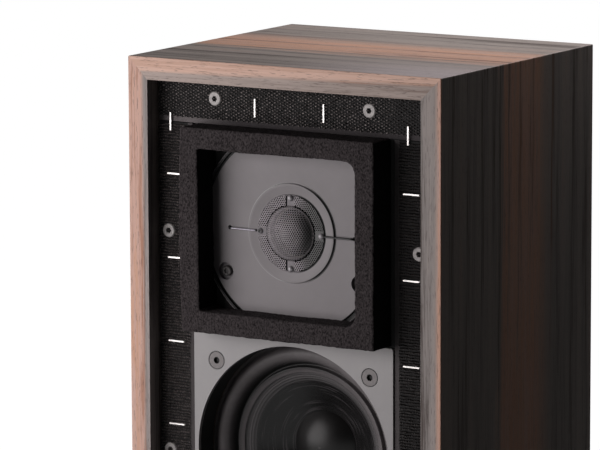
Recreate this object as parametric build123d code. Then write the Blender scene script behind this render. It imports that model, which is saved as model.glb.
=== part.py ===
from build123d import *
import os
from math import cos, radians, sin, sqrt

# A two-way bookshelf loudspeaker with its grille off. Millimetres, +Z up, the front faces -Y.
# The origin is the middle of the base that it stands on.
# Depths are measured backwards from the cabinet's front edge.

# Cabinet
panel = 12.0                  # top, base and sides, mitred at the corners
cabinet_depth = 165.0
edge_round = 0.6
back_thickness = 12.0
baffle_recess = 12.0          # front edge to the baffle's face
baffle_thickness = 12.0
baffle_play = 0.3
batten = 15.0                 # square fillets behind the baffle and the back
seal_thickness = 1.5
seal_width = 10.0
pad_thickness = 5.0
foam_thickness = 12.0
lining_margin = 2.0

# Hook tape round the baffle and its staples
tape_width = 21.2
tape_pile = 2.3
tape_ground = 1.5             # plain woven edge, lower than the pile
tape_selvage = 2.9            # along the edge nearer the drive units
tape_inset = 0.3              # cabinet wall to tape
top_tape_inset = 1.5
tape_gap = 0.5                # tape to woofer plate
tape_joint = 0.3              # side tape to top tape
staple_crown = 9.6
staple_wire = 0.8
staple_thickness = 0.5
staple_clearance = 0.05
staple_pitch = 45.0
staples_per_side = 5
top_staple_left = 22.1        # the staples were driven by hand, so the sides differ
top_staple_right = 19.8
corner_staple_left_inset = 8.4    # cabinet wall to corner staple
corner_staple_right_inset = 12.8
corner_staple_lift = 2.5      # right corner's staple above the tape's edge

# Baffle screws
screw_head_radius = 3.8
screw_head_height = 2.6
screw_head_bevel = 0.5
screw_radius = 1.9
screw_length = 23.0
screw_socket = 2.8
screw_socket_depth = 1.5
screw_clearance = 0.15
top_screw_spread = 47.0
top_screw_inset = 8.9         # inner wall to screw
side_screw_spread = 59.3      # above and below the middle
side_screw_inset = 6.5

# Felt frame round the tweeter
felt_width = 118.0
felt_height = 108.0
felt_strip = 11.5
felt_thickness = 17.0
felt_corner = 4.0
felt_gap = 0.5

# Woofer, clamped to the back of the baffle through a grey front plate
surround_seat_radius = 56.5   # outer edge of the roll, which the bolts and plates are set round
surround_seat_width = 3.5
woofer_opening_margin = 2.2   # roll to the edge of the opening
woofer_bolt_inset = 9.5       # bolts from the axis, across and up, against the roll's radius
woofer_plate_side = 14.0      # bolts to the plate's sides
woofer_plate_end = 16.5       # bolts to the plate's top and bottom
woofer_plate_thickness = 2.3
woofer_plate_corner = 1.5
bolt_radius = 2.4
bolt_head_radius = 4.8
bolt_socket = 3.2
bolt_socket_depth = 1.6
bolt_clearance = 0.3
bolt_end = 1.5                # thread past the nut
nut_flats = 8.0
nut_thickness = 4.0
nut_clearance = 0.05
gasket_thickness = 1.0
chassis_corner = 14.0
flange_thickness = 4.0
basket_depth = 36.0
basket_wall = 3.0
basket_floor = 4.0
basket_rear_radius = 42.0
basket_neck_radius = 16.0
basket_windows = 6
basket_window_angle = 42.0
window_margin = 1.6
spider_ledge_height = 5.0     # above the basket's floor
spider_ledge_radius = 34.0
surround_thickness = 0.9
surround_crest_radius = 52.2
surround_crest_rise = 2.6     # in front of the chassis
glue = 0.1
cone_radius = 46.2
cone_edge_sink = 2.4          # behind the chassis front
cone_lip_radius = 41.6
cone_slope = 0.58             # depth gained for each unit of radius
cone_thickness = 0.7
cone_neck_gap = 0.2
dust_cap_radius = 18.5
dust_cap_rise = 6.5
dust_cap_thickness = 0.6
coil_radius = 12.75           # outside of the former
former_wall = 0.3
former_lead = 0.8             # former in front of the cone's neck
former_tail = 2.0
winding_length = 12.0
winding_thickness = 0.6
magnet_gap = 0.45             # moving coil to iron, each side
spider_thickness = 0.5
spider_wave = 2.0             # half a wave
spider_wave_height = 0.45
spider_waves = 10
pole_plate_radius = 36.0
pole_plate_thickness = 6.0
magnet_radius = 45.0
magnet_bore = 20.0
magnet_thickness = 14.0
yoke_radius = 41.0
yoke_thickness = 5.0
tag_board_width = 22.0
tag_board_height = 5.0
tag_board_thickness = 1.2
tag_spread = 6.0
tag_width = 3.0
tag_length = 8.0
tag_thickness = 0.6
flex_lead_radius = 0.5

# Tweeter
tweeter_diameter = 112.8
tweeter_flat = 53.0           # axis to the flats at the plate's top and bottom
driver_gap = 2.5              # woofer plate to tweeter
tweeter_tape_gap = 0.8
tweeter_proud = 2.3
tweeter_let_in = 2.0
tweeter_edge_bevel = 0.5
rim_groove_radius = 53.9
rim_groove_width = 1.6
rim_groove_depth = 1.5
boss_radius = 26.5
boss_rise = 0.9
boss_bevel = 0.4
boss_lip = 1.1
guard_seat_radius = 21.0
guard_seat_rise = 0.4
tweeter_bore = 13.0
tweeter_cutout_radius = 41.5
tweeter_screw_circle = 47.0
tweeter_screws = 3
tweeter_counterbore = 4.6
tweeter_counterbore_depth = 2.3
tweeter_head_radius = 2.75
tweeter_head_height = 2.0
tweeter_screw_radius = 1.7
tweeter_screw_length = 9.5
tweeter_socket = 2.5
guard_radius = 14.4
guard_rim_radius = 20.4
guard_height = 11.3
guard_thickness = 0.5
rivet_circle = 18.7
rivet_radius = 1.7
rivet_height = 1.5
rivet_shank = 0.9
rivet_length = 3.0
lead_radius = 0.5
lead_hole_x = 38.0
lead_hole_radius = 1.1
lead_bend = 1.5
lead_rise = 0.6
lead_tail = 3.0
dome_radius = 9.65
dome_rise = 4.1
dome_wall = 0.25
dome_front = 3.3              # plate face to dome edge
dome_former_length = 6.0
dome_coil_length = 2.6
dome_coil_thickness = 0.3
dome_play = 0.4
dome_surround_roll = 2.0
dome_surround_flange = 0.8
dome_surround_thickness = 0.4
tweeter_pole_plate_radius = 32.0
tweeter_pole_plate_thickness = 4.0
tweeter_magnet_radius = 35.0
tweeter_magnet_bore = 14.0
tweeter_magnet_thickness = 10.0
tweeter_yoke_radius = 33.0
tweeter_yoke_thickness = 5.0

# Crossover on the inside of the back
board_width = 120.0
board_height = 150.0
board_thickness = 1.6
board_rise = 24.0             # terminals to the board's lower edge
spacer_length = 8.0
spacer_radius = 3.5
spacer_inset = 6.0
board_screw_radius = 1.4
board_screw_head = 2.6
board_screw_head_height = 1.8
component_gap = 0.1
bass_coil_radius = 24.0
bass_coil_height = 26.0
middle_coil_radius = 18.0
middle_coil_height = 20.0
treble_coil_radius = 14.0
treble_coil_height = 16.0
inductor_bore = 0.4           # share of the inductor's radius
capacitor_radius = 8.0
capacitor_length = 30.0
capacitor_bevel = 1.0
capacitor_pitch = 20.0
capacitors = 3
resistor_length = 22.0
resistor_side = 7.0
resistor_pitch = 12.0
resistors = 3
hookup_radius = 0.9
hookup_bend = 5.0
hookup_lap = 3.0              # wire beside its tag
hookup_rise = 6.0
hookup_reach = 20.0           # tweeter wire straight out behind the magnet

# Binding posts at the back
terminal_spread = 9.5
terminal_height = 62.0
post_radius = 3.0
post_hole_clearance = 0.3
socket_radius = 2.0           # takes a 4 mm plug
socket_depth = 15.0
post_inner_length = 9.0       # past the inside of the back
post_outer_length = 25.0
shoulder_radius = 5.5
shoulder_thickness = 2.0
wire_hole_radius = 1.1
collar_radius = 8.0
collar_thickness = 4.0
collar_round = 0.8
washer_radius = 5.2
washer_thickness = 1.0
cap_radius = 7.5
cap_length = 17.0
cap_round = 0.8
cap_flutes = 14
cap_flute_radius = 0.9
cap_play = 0.35
terminal_nut_flats = 9.0
terminal_nut_thickness = 4.0
terminal_tag_radius = 5.0
terminal_tag_reach = 12.0

# The woofer's plates are set round its roll, and the cabinet round the drive units and the tape
woofer_opening = surround_seat_radius + woofer_opening_margin
surround_rim_radius = surround_seat_radius + surround_seat_width
woofer_bolt_spread = surround_seat_radius - woofer_bolt_inset
woofer_plate_width = 2 * (woofer_bolt_spread + woofer_plate_side)
woofer_plate_height = 2 * (woofer_bolt_spread + woofer_plate_end)
inner_width = woofer_plate_width + 2 * (tape_gap + tape_width + tape_inset)
woofer_z = panel + tape_inset + tape_width + tape_gap + woofer_plate_height / 2
woofer_plate_top = woofer_z + woofer_plate_height / 2
tweeter_radius = tweeter_diameter / 2
tweeter_z = woofer_plate_top + driver_gap + tweeter_flat
inner_top = tweeter_z + tweeter_flat + tweeter_tape_gap + tape_width + top_tape_inset
inner_height = inner_top - panel
cabinet_width = inner_width + 2 * panel
cabinet_height = inner_top + panel
middle_z = cabinet_height / 2
half_inner = inner_width / 2

# Depths of the faces that the pieces seat on
baffle_back = baffle_recess + baffle_thickness
batten_front = baffle_back + seal_thickness
back_face = cabinet_depth - back_thickness
tape_face = baffle_recess - tape_pile
woofer_face = baffle_recess - woofer_plate_thickness
chassis_front = baffle_back + gasket_thickness
flange_back = chassis_front + flange_thickness
basket_back = chassis_front + basket_depth
floor_front = basket_back - basket_floor
ledge_front = floor_front - spider_ledge_height
basket_shoulder = ledge_front - basket_wall
magnet_front = basket_back + pole_plate_thickness
yoke_front = magnet_front + magnet_thickness
tweeter_face = baffle_recess - tweeter_proud
tweeter_back = baffle_recess + tweeter_let_in
guard_seat = tweeter_face - guard_seat_rise
guard_face = guard_seat - guard_thickness
tweeter_magnet_front = tweeter_back + tweeter_pole_plate_thickness
tweeter_yoke_front = tweeter_magnet_front + tweeter_magnet_thickness
board_back = back_face - spacer_length
terminal_tag_front = back_face - tag_thickness
board_front = board_back - board_thickness
board_z = terminal_height + board_rise + board_height / 2


# Shapes drawn with X and Z as on the front and Y as depth, then set on a drive unit's axis
def placed(shape, z=0.0):
    return Pos(0, -cabinet_depth / 2, z) * shape


def slab(sketch, near, far):
    return Pos(0, far, 0) * extrude(Plane.XZ * sketch, far - near)


def rod(radius, near, far, x=0.0, z=0.0):
    return slab(Pos(x, z) * Circle(radius), near, far)


def turned(*edges):
    return revolve(make_face(list(edges)), Axis.Y)


def turned_outline(*points):
    return revolve(make_face(Polyline(*points, close=True)), Axis.Y)


def ring(inner, outer, near, far):
    return slab(Circle(outer) - Circle(inner), near, far)


def hexagon(flats, x=0.0, z=0.0):
    return Pos(x, z) * RegularPolygon(flats / 2, 6, major_radius=False)


def bar(low, high):
    size = [b - a for a, b in zip(low, high)]
    middle = [(a + b) / 2 for a, b in zip(low, high)]
    return Pos(*middle) * Box(*size)


def tube(points, radius, bend):
    path = FilletPolyline(*points, radius=bend)
    return sweep((path ^ 0) * Circle(radius), path)


def group(solids):
    return Compound([solid.solid() for solid in solids])


def mirrored_pairs(x, heights):
    return [(side * x, z) for z in heights for side in (-1, 1)]


# Places that several pieces share
baffle_screw_places = mirrored_pairs(
    top_screw_spread, [panel + top_screw_inset, inner_top - top_screw_inset]
) + mirrored_pairs(
    half_inner - side_screw_inset, [middle_z - side_screw_spread, middle_z + side_screw_spread]
)
woofer_bolt_places = mirrored_pairs(woofer_bolt_spread, [-woofer_bolt_spread, woofer_bolt_spread])
tweeter_screw_places = [
    (
        tweeter_screw_circle * cos(radians(90 + 360 * k / tweeter_screws)),
        tweeter_screw_circle * sin(radians(90 + 360 * k / tweeter_screws)),
    )
    for k in range(tweeter_screws)
]
side_tape_x = half_inner - tape_inset - tape_width / 2
top_tape_z = inner_top - top_tape_inset - tape_width / 2
base_tape_z = panel + tape_inset + tape_width / 2
corner_staple_left = half_inner - corner_staple_left_inset
corner_staple_right = half_inner - corner_staple_right_inset
top_tape_edge = top_tape_z - tape_width / 2
base_tape_edge = base_tape_z + tape_width / 2
side_tape_z = (base_tape_edge + top_tape_edge) / 2


def cabinet_panels():
    outer = Box(cabinet_width, cabinet_depth, cabinet_height)
    outer = fillet(outer.edges(), edge_round)
    outer = Pos(0, 0, middle_z) * outer
    half = cabinet_width / 2
    corners = {
        "left": [(-half, 0), (-half, cabinet_height), (-half_inner, inner_top), (-half_inner, panel)],
        "top": [(-half, cabinet_height), (half, cabinet_height), (half_inner, inner_top),
                (-half_inner, inner_top)],
        "right": [(half, cabinet_height), (half, 0), (half_inner, panel), (half_inner, inner_top)],
        "base": [(half, 0), (-half, 0), (-half_inner, panel), (half_inner, panel)],
    }
    return {
        side: outer & placed(slab(make_face(Polyline(*points, close=True)), 0, cabinet_depth))
        for side, points in corners.items()
    }


def back_panel():
    board = slab(Pos(0, middle_z) * Rectangle(inner_width, inner_height), back_face, cabinet_depth)
    for x in (-terminal_spread, terminal_spread):
        board -= rod(post_radius + post_hole_clearance, back_face, cabinet_depth, x, terminal_height)
    for x, z in board_corners():
        board -= rod(board_screw_radius + screw_clearance, back_face, board_screw_tip(), x, z)
    return placed(board)


def batten_frame(near, far, screws):
    low, high = panel, inner_top
    bars = [
        bar((-half_inner, near, low), (half_inner, far, low + batten)),
        bar((-half_inner, near, high - batten), (half_inner, far, high)),
        bar((-half_inner, near, low + batten), (batten - half_inner, far, high - batten)),
        bar((half_inner - batten, near, low + batten), (half_inner, far, high - batten)),
    ]
    for x, z in screws:
        pilot = rod(screw_radius + screw_clearance, near, far, x, z)
        bars = [piece - pilot for piece in bars]
    return placed(group(bars))


def baffle_seal():
    outline = Rectangle(inner_width, inner_height)
    inside = Rectangle(inner_width - 2 * seal_width, inner_height - 2 * seal_width)
    strip = slab(Pos(0, middle_z) * (outline - inside), baffle_back, batten_front)
    for x, z in baffle_screw_places:
        strip -= rod(screw_radius + screw_clearance, baffle_back, batten_front, x, z)
    return placed(strip)


def tweeter_outline(grow=0.0):
    return Circle(tweeter_radius + grow) & Rectangle(3 * tweeter_radius, 2 * (tweeter_flat + grow))


def front_baffle():
    face = Rectangle(inner_width - 2 * baffle_play, inner_height - 2 * baffle_play)
    board = slab(Pos(0, middle_z) * face, baffle_recess, baffle_back)
    board -= rod(woofer_opening, baffle_recess, baffle_back, 0, woofer_z)
    board -= rod(tweeter_cutout_radius, baffle_recess, baffle_back, 0, tweeter_z)
    board -= slab(Pos(0, tweeter_z) * tweeter_outline(baffle_play), baffle_recess, tweeter_back)
    for x, z in baffle_screw_places:
        board -= rod(screw_radius + screw_clearance, baffle_recess, baffle_back, x, z)
    for x, z in woofer_bolt_places:
        board -= rod(bolt_radius + bolt_clearance, baffle_recess, baffle_back, x, woofer_z + z)
    for x, z in tweeter_screw_places:
        pilot = tweeter_screw_radius + screw_clearance
        board -= rod(pilot, tweeter_back, baffle_back, x, tweeter_z + z)
    return placed(board)


def staple(x, z, upright, grow=0.0):
    crown = staple_crown / 2 + grow
    wire = staple_wire / 2 + grow
    leg = staple_thickness + 2 * grow
    outline = Rectangle(2 * crown, 2 * wire) if not upright else Rectangle(2 * wire, 2 * crown)
    inside = Rectangle(2 * (crown - leg), 2 * wire) if not upright else Rectangle(2 * wire, 2 * (crown - leg))
    top = tape_face - staple_thickness
    shape = slab(outline, top, baffle_recess) - slab(inside, tape_face - grow, baffle_recess)
    return Pos(x, 0, z) * shape


def staple_places():
    steps = range(staples_per_side)
    heights = [middle_z + staple_pitch * (k - (staples_per_side - 1) / 2) for k in steps]
    level = [(x, z, False) for x, z in mirrored_pairs(side_tape_x, heights)]
    upright = []
    for tape_middle, tape_edge, lift in (
        (base_tape_z, base_tape_edge, -corner_staple_lift), (top_tape_z, top_tape_edge, corner_staple_lift)
    ):
        upright += [(-top_staple_left, tape_middle), (top_staple_right, tape_middle)]
        upright += [(-corner_staple_left, tape_edge), (corner_staple_right, tape_edge + lift)]
    return level + [(x, z, True) for x, z in upright]


def tape(x, z, width, height, selvage_x, selvage_z):
    ground = baffle_recess - tape_ground
    strip = slab(Pos(x, z) * Rectangle(width, height), ground, baffle_recess)
    pile = Rectangle(width - abs(selvage_x), height - abs(selvage_z))
    strip += slab(Pos(x - selvage_x / 2, z - selvage_z / 2) * pile, tape_face, ground)
    for sx, sz in baffle_screw_places:
        strip -= rod(screw_head_radius + screw_clearance, tape_face, baffle_recess, sx, sz)
    for sx, sz, upright in staple_places():
        strip -= staple(sx, sz, upright, staple_clearance)
    return placed(strip)


def tapes():
    across = inner_width - 2 * tape_inset
    up = top_tape_edge - base_tape_edge - 2 * tape_joint
    return {
        "top": tape(0, top_tape_z, across, tape_width, 0, -tape_selvage),
        "bottom": tape(0, base_tape_z, across, tape_width, 0, tape_selvage),
        "left": tape(-side_tape_x, side_tape_z, tape_width, up, tape_selvage, 0),
        "right": tape(side_tape_x, side_tape_z, tape_width, up, -tape_selvage, 0),
    }


def socket_screw(x, z, head_front, head_back, head_radius, shank, tip, flats, sink):
    head = rod(head_radius, head_front, head_back)
    head = chamfer(head.faces().sort_by(Axis.Y)[0].edges(), screw_head_bevel)
    screw = head + rod(shank, head_back, tip) - slab(hexagon(flats), head_front, head_front + sink)
    return Pos(x, 0, z) * screw


def baffle_screws():
    front = baffle_recess - screw_head_height
    tip = baffle_recess + screw_length
    return placed(group([
        socket_screw(x, z, front, baffle_recess, screw_head_radius, screw_radius, tip,
                     screw_socket, screw_socket_depth)
        for x, z in baffle_screw_places
    ]))


def tweeter_felt():
    frame = RectangleRounded(felt_width, felt_height, felt_corner / 2)
    frame -= RectangleRounded(felt_width - 2 * felt_strip, felt_height - 2 * felt_strip, felt_corner)
    z = woofer_plate_top + felt_gap + felt_height / 2
    felt = slab(Pos(0, z) * frame, baffle_recess - felt_thickness, baffle_recess)
    return placed(felt - slab(Pos(0, tweeter_z) * tweeter_outline(baffle_play), tweeter_face, baffle_recess))


def woofer_plate():
    plate = RectangleRounded(woofer_plate_width, woofer_plate_height, woofer_plate_corner)
    plate = slab(plate - Circle(woofer_opening), woofer_face, baffle_recess)
    wide = bolt_head_radius + bolt_clearance
    narrow = wide - woofer_plate_thickness
    for x, z in woofer_bolt_places:
        sink = turned_outline(
            (0, woofer_face), (wide, woofer_face), (narrow, baffle_recess), (0, baffle_recess)
        )
        plate -= Pos(x, 0, z) * sink
    return placed(plate, woofer_z)


def woofer_bolts():
    tip = flange_back + nut_thickness + bolt_end
    cone_end = woofer_face + bolt_head_radius - bolt_radius
    bolt = turned_outline(
        (0, woofer_face), (bolt_head_radius, woofer_face), (bolt_radius, cone_end),
        (bolt_radius, tip), (0, tip)
    )
    bolt -= slab(hexagon(bolt_socket), woofer_face, woofer_face + bolt_socket_depth)
    return placed(group([Pos(x, 0, z) * bolt for x, z in woofer_bolt_places]), woofer_z)


def woofer_nuts():
    outline = hexagon(nut_flats) - Circle(bolt_radius + nut_clearance)
    nut = slab(outline, flange_back, flange_back + nut_thickness)
    return placed(group([Pos(x, 0, z) * nut for x, z in woofer_bolt_places]), woofer_z)


def chassis_outline(opening):
    outline = RectangleRounded(woofer_plate_width, woofer_plate_width, chassis_corner) - Circle(opening)
    for x, z in woofer_bolt_places:
        outline -= Pos(x, z) * Circle(bolt_radius + bolt_clearance)
    return outline


def woofer_gasket():
    return placed(slab(chassis_outline(woofer_opening), baffle_back, chassis_front), woofer_z)


def woofer_chassis():
    seat_back = chassis_front + surround_thickness + glue
    flange = slab(chassis_outline(surround_seat_radius), chassis_front, flange_back)
    flange -= rod(surround_rim_radius + glue, chassis_front, seat_back)
    inner_rear = basket_rear_radius - basket_wall
    basket = turned_outline(
        (surround_seat_radius, flange_back - flange_thickness / 2),
        (surround_seat_radius, flange_back), (inner_rear, basket_shoulder), (inner_rear, ledge_front),
        (spider_ledge_radius, ledge_front), (spider_ledge_radius, floor_front),
        (basket_neck_radius, floor_front), (basket_neck_radius, basket_back),
        (basket_rear_radius, basket_back), (basket_rear_radius, basket_shoulder),
        (surround_seat_radius + basket_wall, flange_back),
        (surround_seat_radius + basket_wall, flange_back - flange_thickness / 2),
    )
    inside = basket_rear_radius + window_margin
    outside = surround_seat_radius - window_margin
    window = ring(inside, outside, flange_back, ledge_front)
    half_angle = basket_window_angle / 2
    reach = 2 * outside
    wedge = Polyline(
        (0, 0), (reach * sin(radians(half_angle)), reach * cos(radians(half_angle))),
        (-reach * sin(radians(half_angle)), reach * cos(radians(half_angle))), close=True
    )
    window &= slab(make_face(wedge), flange_back, ledge_front)
    for k in range(basket_windows):
        basket -= Rot(0, 360 * k / basket_windows, 0) * window
    return placed(flange + basket, woofer_z)


# The cone's front face as a depth for a radius, before it moves
cone_edge_depth = chassis_front + cone_edge_sink


def cone_depth(radius):
    return cone_edge_depth + cone_slope * (cone_radius - radius)


cone_slant = sqrt(1 + cone_slope ** 2)
cone_neck_radius = coil_radius + cone_neck_gap
cone_neck_depth = cone_depth(cone_neck_radius)


def off_cone(radius, gap):
    return radius - gap * cone_slope / cone_slant, cone_depth(radius) - gap / cone_slant


def woofer_surround():
    crest = chassis_front - surround_crest_rise
    flat = surround_thickness
    seat = surround_seat_radius
    lip_front = off_cone(cone_radius, glue + flat)
    lip_back = off_cone(cone_radius, glue)
    end_front = off_cone(cone_lip_radius, glue + flat)
    end_back = off_cone(cone_lip_radius, glue)
    rim = surround_rim_radius
    return placed(turned(
        Line((rim, chassis_front), (seat, chassis_front)),
        ThreePointArc((seat, chassis_front), (surround_crest_radius, crest), lip_front),
        Line(lip_front, end_front),
        Line(end_front, end_back),
        Line(end_back, lip_back),
        ThreePointArc(lip_back, (surround_crest_radius, crest + flat), (seat, chassis_front + flat)),
        Line((seat, chassis_front + flat), (rim, chassis_front + flat)),
        Line((rim, chassis_front + flat), (rim, chassis_front)),
    ), woofer_z)


def woofer_cone():
    return placed(turned_outline(
        (cone_radius, cone_edge_depth), (cone_neck_radius, cone_neck_depth),
        (cone_neck_radius, cone_neck_depth + cone_thickness), (cone_radius, cone_edge_depth + cone_thickness),
    ), woofer_z)


def cap_point(radius, rise, apex, share):
    ball = (radius ** 2 + rise ** 2) / (2 * rise)
    return radius * share, apex + ball - sqrt(ball ** 2 - (radius * share) ** 2)


def shell_cap(radius, rise, edge, wall):
    apex = edge - rise
    inner = radius - wall
    return [
        ThreePointArc((radius, edge), cap_point(radius, rise, apex, 0.5), (0, apex)),
        Line((0, apex), (0, apex + wall)),
        ThreePointArc((0, apex + wall), cap_point(inner, rise - wall, apex + wall, 0.5), (inner, edge)),
    ]


def woofer_dust_cap():
    edge = cone_depth(dust_cap_radius) - glue
    outline = shell_cap(dust_cap_radius, dust_cap_rise, edge, dust_cap_thickness)
    closing = Line((dust_cap_radius - dust_cap_thickness, edge), (dust_cap_radius, edge))
    return placed(turned(*outline, closing), woofer_z)


coil_middle = basket_back + pole_plate_thickness / 2
winding_back = coil_middle + winding_length / 2


def woofer_former():
    front = cone_neck_depth - former_lead
    return placed(ring(coil_radius - former_wall, coil_radius, front, winding_back + former_tail), woofer_z)


def woofer_coil():
    outer = coil_radius + winding_thickness
    return placed(ring(coil_radius, outer, coil_middle - winding_length / 2, winding_back), woofer_z)


def woofer_spider():
    edge_back = ledge_front - glue
    edge_front = edge_back - spider_thickness
    outer = basket_rear_radius - basket_wall - glue
    crest_start = spider_ledge_radius
    waves_end = crest_start - spider_waves * spider_wave

    def waves(depth):
        for k in range(spider_waves):
            start = crest_start - k * spider_wave
            end = start - spider_wave
            crest = depth + spider_wave_height * (1 if k % 2 else -1)
            yield ThreePointArc((start, depth), ((start + end) / 2, crest), (end, depth))

    return placed(turned(
        Line((outer, edge_back), (outer, edge_front)),
        Line((outer, edge_front), (crest_start, edge_front)),
        *waves(edge_front),
        Line((waves_end, edge_front), (cone_neck_radius, edge_front)),
        Line((cone_neck_radius, edge_front), (cone_neck_radius, edge_back)),
        Line((cone_neck_radius, edge_back), (waves_end, edge_back)),
        *waves(edge_back),
        Line((crest_start, edge_back), (outer, edge_back)),
    ), woofer_z)


def woofer_pole_plate():
    bore = coil_radius + winding_thickness + magnet_gap
    return placed(ring(bore, pole_plate_radius, basket_back, magnet_front), woofer_z)


def woofer_magnet():
    return placed(ring(magnet_bore, magnet_radius, magnet_front, yoke_front), woofer_z)


def woofer_pole():
    pole = coil_radius - former_wall - magnet_gap
    yoke = rod(yoke_radius, yoke_front, yoke_front + yoke_thickness)
    yoke = chamfer(yoke.faces().sort_by(Axis.Y)[-1].edges(), yoke_thickness / 3)
    return placed(yoke + rod(pole, basket_back, yoke_front), woofer_z)


def woofer_tags():
    low = pole_plate_radius + glue
    high = low + tag_board_height
    front = basket_back
    back = front + tag_board_thickness
    pieces = [bar((-tag_board_width / 2, front, low), (tag_board_width / 2, back, high))]
    for x in (-tag_spread, tag_spread):
        pieces.append(bar(
            (x - tag_width / 2, back, high - tag_board_height / 2),
            (x + tag_width / 2, back + tag_thickness, high - tag_board_height / 2 + tag_length),
        ))
    return placed(group(pieces), woofer_z)


tag_tip = pole_plate_radius + glue + tag_board_height / 2 + tag_length


def woofer_leads():
    start = basket_back + tag_board_thickness - flex_lead_radius
    out = basket_rear_radius + 2 * window_margin
    root_radius = (cone_radius + dust_cap_radius) / 2
    root_depth = cone_depth(root_radius) + cone_thickness + 2 * flex_lead_radius
    leads = []
    for x in (-tag_spread, tag_spread):
        points = [
            (x, start, tag_tip - tag_width / 2), (x, ledge_front, out),
            (x, (root_depth + basket_shoulder) / 2, out), (x, root_depth, root_radius),
        ]
        leads.append(tube(points, flex_lead_radius, 4 * flex_lead_radius))
    return placed(group(leads), woofer_z)


def tweeter_plate():
    groove_in = rim_groove_radius - rim_groove_width / 2
    groove_out = rim_groove_radius + rim_groove_width / 2
    groove = tweeter_face + rim_groove_depth
    boss = tweeter_face - boss_rise
    plate = turned_outline(
        (tweeter_bore, guard_seat), (guard_seat_radius, guard_seat),
        (boss_radius - boss_bevel - boss_lip, boss), (boss_radius - boss_bevel, boss),
        (boss_radius, tweeter_face), (groove_in, tweeter_face), (groove_in, groove), (groove_out, groove),
        (groove_out, tweeter_face), (tweeter_radius - tweeter_edge_bevel, tweeter_face),
        (tweeter_radius, tweeter_face + tweeter_edge_bevel), (tweeter_radius, tweeter_back),
        (tweeter_bore, tweeter_back),
    )
    plate &= slab(Rectangle(3 * tweeter_radius, 2 * tweeter_flat), boss, tweeter_back)
    for x, z in tweeter_screw_places:
        plate -= rod(tweeter_counterbore, tweeter_face, tweeter_face + tweeter_counterbore_depth, x, z)
        plate -= rod(tweeter_screw_radius + screw_clearance, tweeter_face, tweeter_back, x, z)
    for x in (-lead_hole_x, lead_hole_x):
        plate -= rod(lead_hole_radius, tweeter_face, tweeter_back, x)
    for x, z in rivet_places():
        plate -= rod(rivet_shank + nut_clearance, guard_seat, tweeter_back, x, z)
    return placed(plate, tweeter_z)


def rivet_places():
    return [(rivet_circle, 0), (-rivet_circle, 0), (0, rivet_circle), (0, -rivet_circle)]


def tweeter_guard():
    apex = guard_face - guard_height
    inner = guard_radius - guard_thickness
    guard = turned(
        ThreePointArc(
            (guard_radius, guard_face), cap_point(guard_radius, guard_height, apex, 0.5), (0, apex)
        ),
        Line((0, apex), (0, apex + guard_thickness)),
        ThreePointArc(
            (0, apex + guard_thickness), cap_point(inner, guard_height, apex + guard_thickness, 0.5),
            (inner, guard_seat)
        ),
        Line((inner, guard_seat), (guard_rim_radius, guard_seat)),
        Line((guard_rim_radius, guard_seat), (guard_rim_radius, guard_face)),
        Line((guard_rim_radius, guard_face), (guard_radius, guard_face)),
    )
    for x, z in rivet_places():
        guard -= rod(rivet_shank + nut_clearance, guard_face, guard_seat, x, z)
    return placed(guard, tweeter_z)


def tweeter_rivets():
    head_front = guard_face - rivet_height
    rivet = turned(
        ThreePointArc(
            (rivet_radius, guard_face), cap_point(rivet_radius, rivet_height, head_front, 0.5),
            (0, head_front)
        ),
        Line((0, head_front), (0, guard_face + rivet_length)),
        Line((0, guard_face + rivet_length), (rivet_shank, guard_face + rivet_length)),
        Line((rivet_shank, guard_face + rivet_length), (rivet_shank, guard_face)),
        Line((rivet_shank, guard_face), (rivet_radius, guard_face)),
    )
    return placed(group([Pos(x, 0, z) * rivet for x, z in rivet_places()]), tweeter_z)


def tweeter_leads():
    level = guard_face - lead_rise
    tail = tweeter_back + lead_tail
    leads = []
    for side in (-1, 1):
        start = side * (rivet_circle + rivet_radius + glue)
        points = [(start, level, 0), (side * lead_hole_x, level, 0), (side * lead_hole_x, tail, 0)]
        leads.append(tube(points, lead_radius, lead_bend))
    return placed(group(leads), tweeter_z)


def tweeter_screw_set():
    seat = tweeter_face + tweeter_counterbore_depth
    return placed(group([
        socket_screw(x, z, seat - tweeter_head_height, seat, tweeter_head_radius, tweeter_screw_radius,
                     seat + tweeter_screw_length, tweeter_socket, tweeter_head_height / 2)
        for x, z in tweeter_screw_places
    ]), tweeter_z)


dome_edge = tweeter_face + dome_front


def tweeter_dome():
    outline = shell_cap(dome_radius, dome_rise, dome_edge, dome_wall)
    inner = dome_radius - dome_wall
    tail = dome_edge + dome_former_length
    return placed(turned(
        *outline,
        Line((inner, dome_edge), (inner, tail)),
        Line((inner, tail), (dome_radius, tail)),
        Line((dome_radius, tail), (dome_radius, dome_edge)),
    ), tweeter_z)


def tweeter_surround():
    flat = dome_surround_thickness
    start = dome_radius + glue
    end = start + dome_surround_roll
    rim = end + dome_surround_flange
    back = tweeter_back - glue
    middle = (start + end) / 2
    crest = dome_edge - dome_surround_roll / 4
    return placed(turned(
        ThreePointArc((start, dome_edge), (middle, crest), (end, back - flat)),
        Line((end, back - flat), (rim, back - flat)),
        Line((rim, back - flat), (rim, back)),
        Line((rim, back), (end, back)),
        ThreePointArc((end, back), (middle, crest + flat), (start, dome_edge + flat)),
        Line((start, dome_edge + flat), (start, dome_edge)),
    ), tweeter_z)


def tweeter_coil():
    front = tweeter_back + (tweeter_pole_plate_thickness - dome_coil_length) / 2
    outer = dome_radius + dome_coil_thickness
    return placed(ring(dome_radius, outer, front, front + dome_coil_length), tweeter_z)


def tweeter_pole_plate():
    bore = dome_radius + dome_coil_thickness + dome_play
    plate = ring(bore, tweeter_pole_plate_radius, tweeter_back, tweeter_magnet_front)
    return placed(plate, tweeter_z)


def tweeter_magnet():
    return placed(
        ring(tweeter_magnet_bore, tweeter_magnet_radius, tweeter_magnet_front, tweeter_yoke_front), tweeter_z
    )


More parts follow.
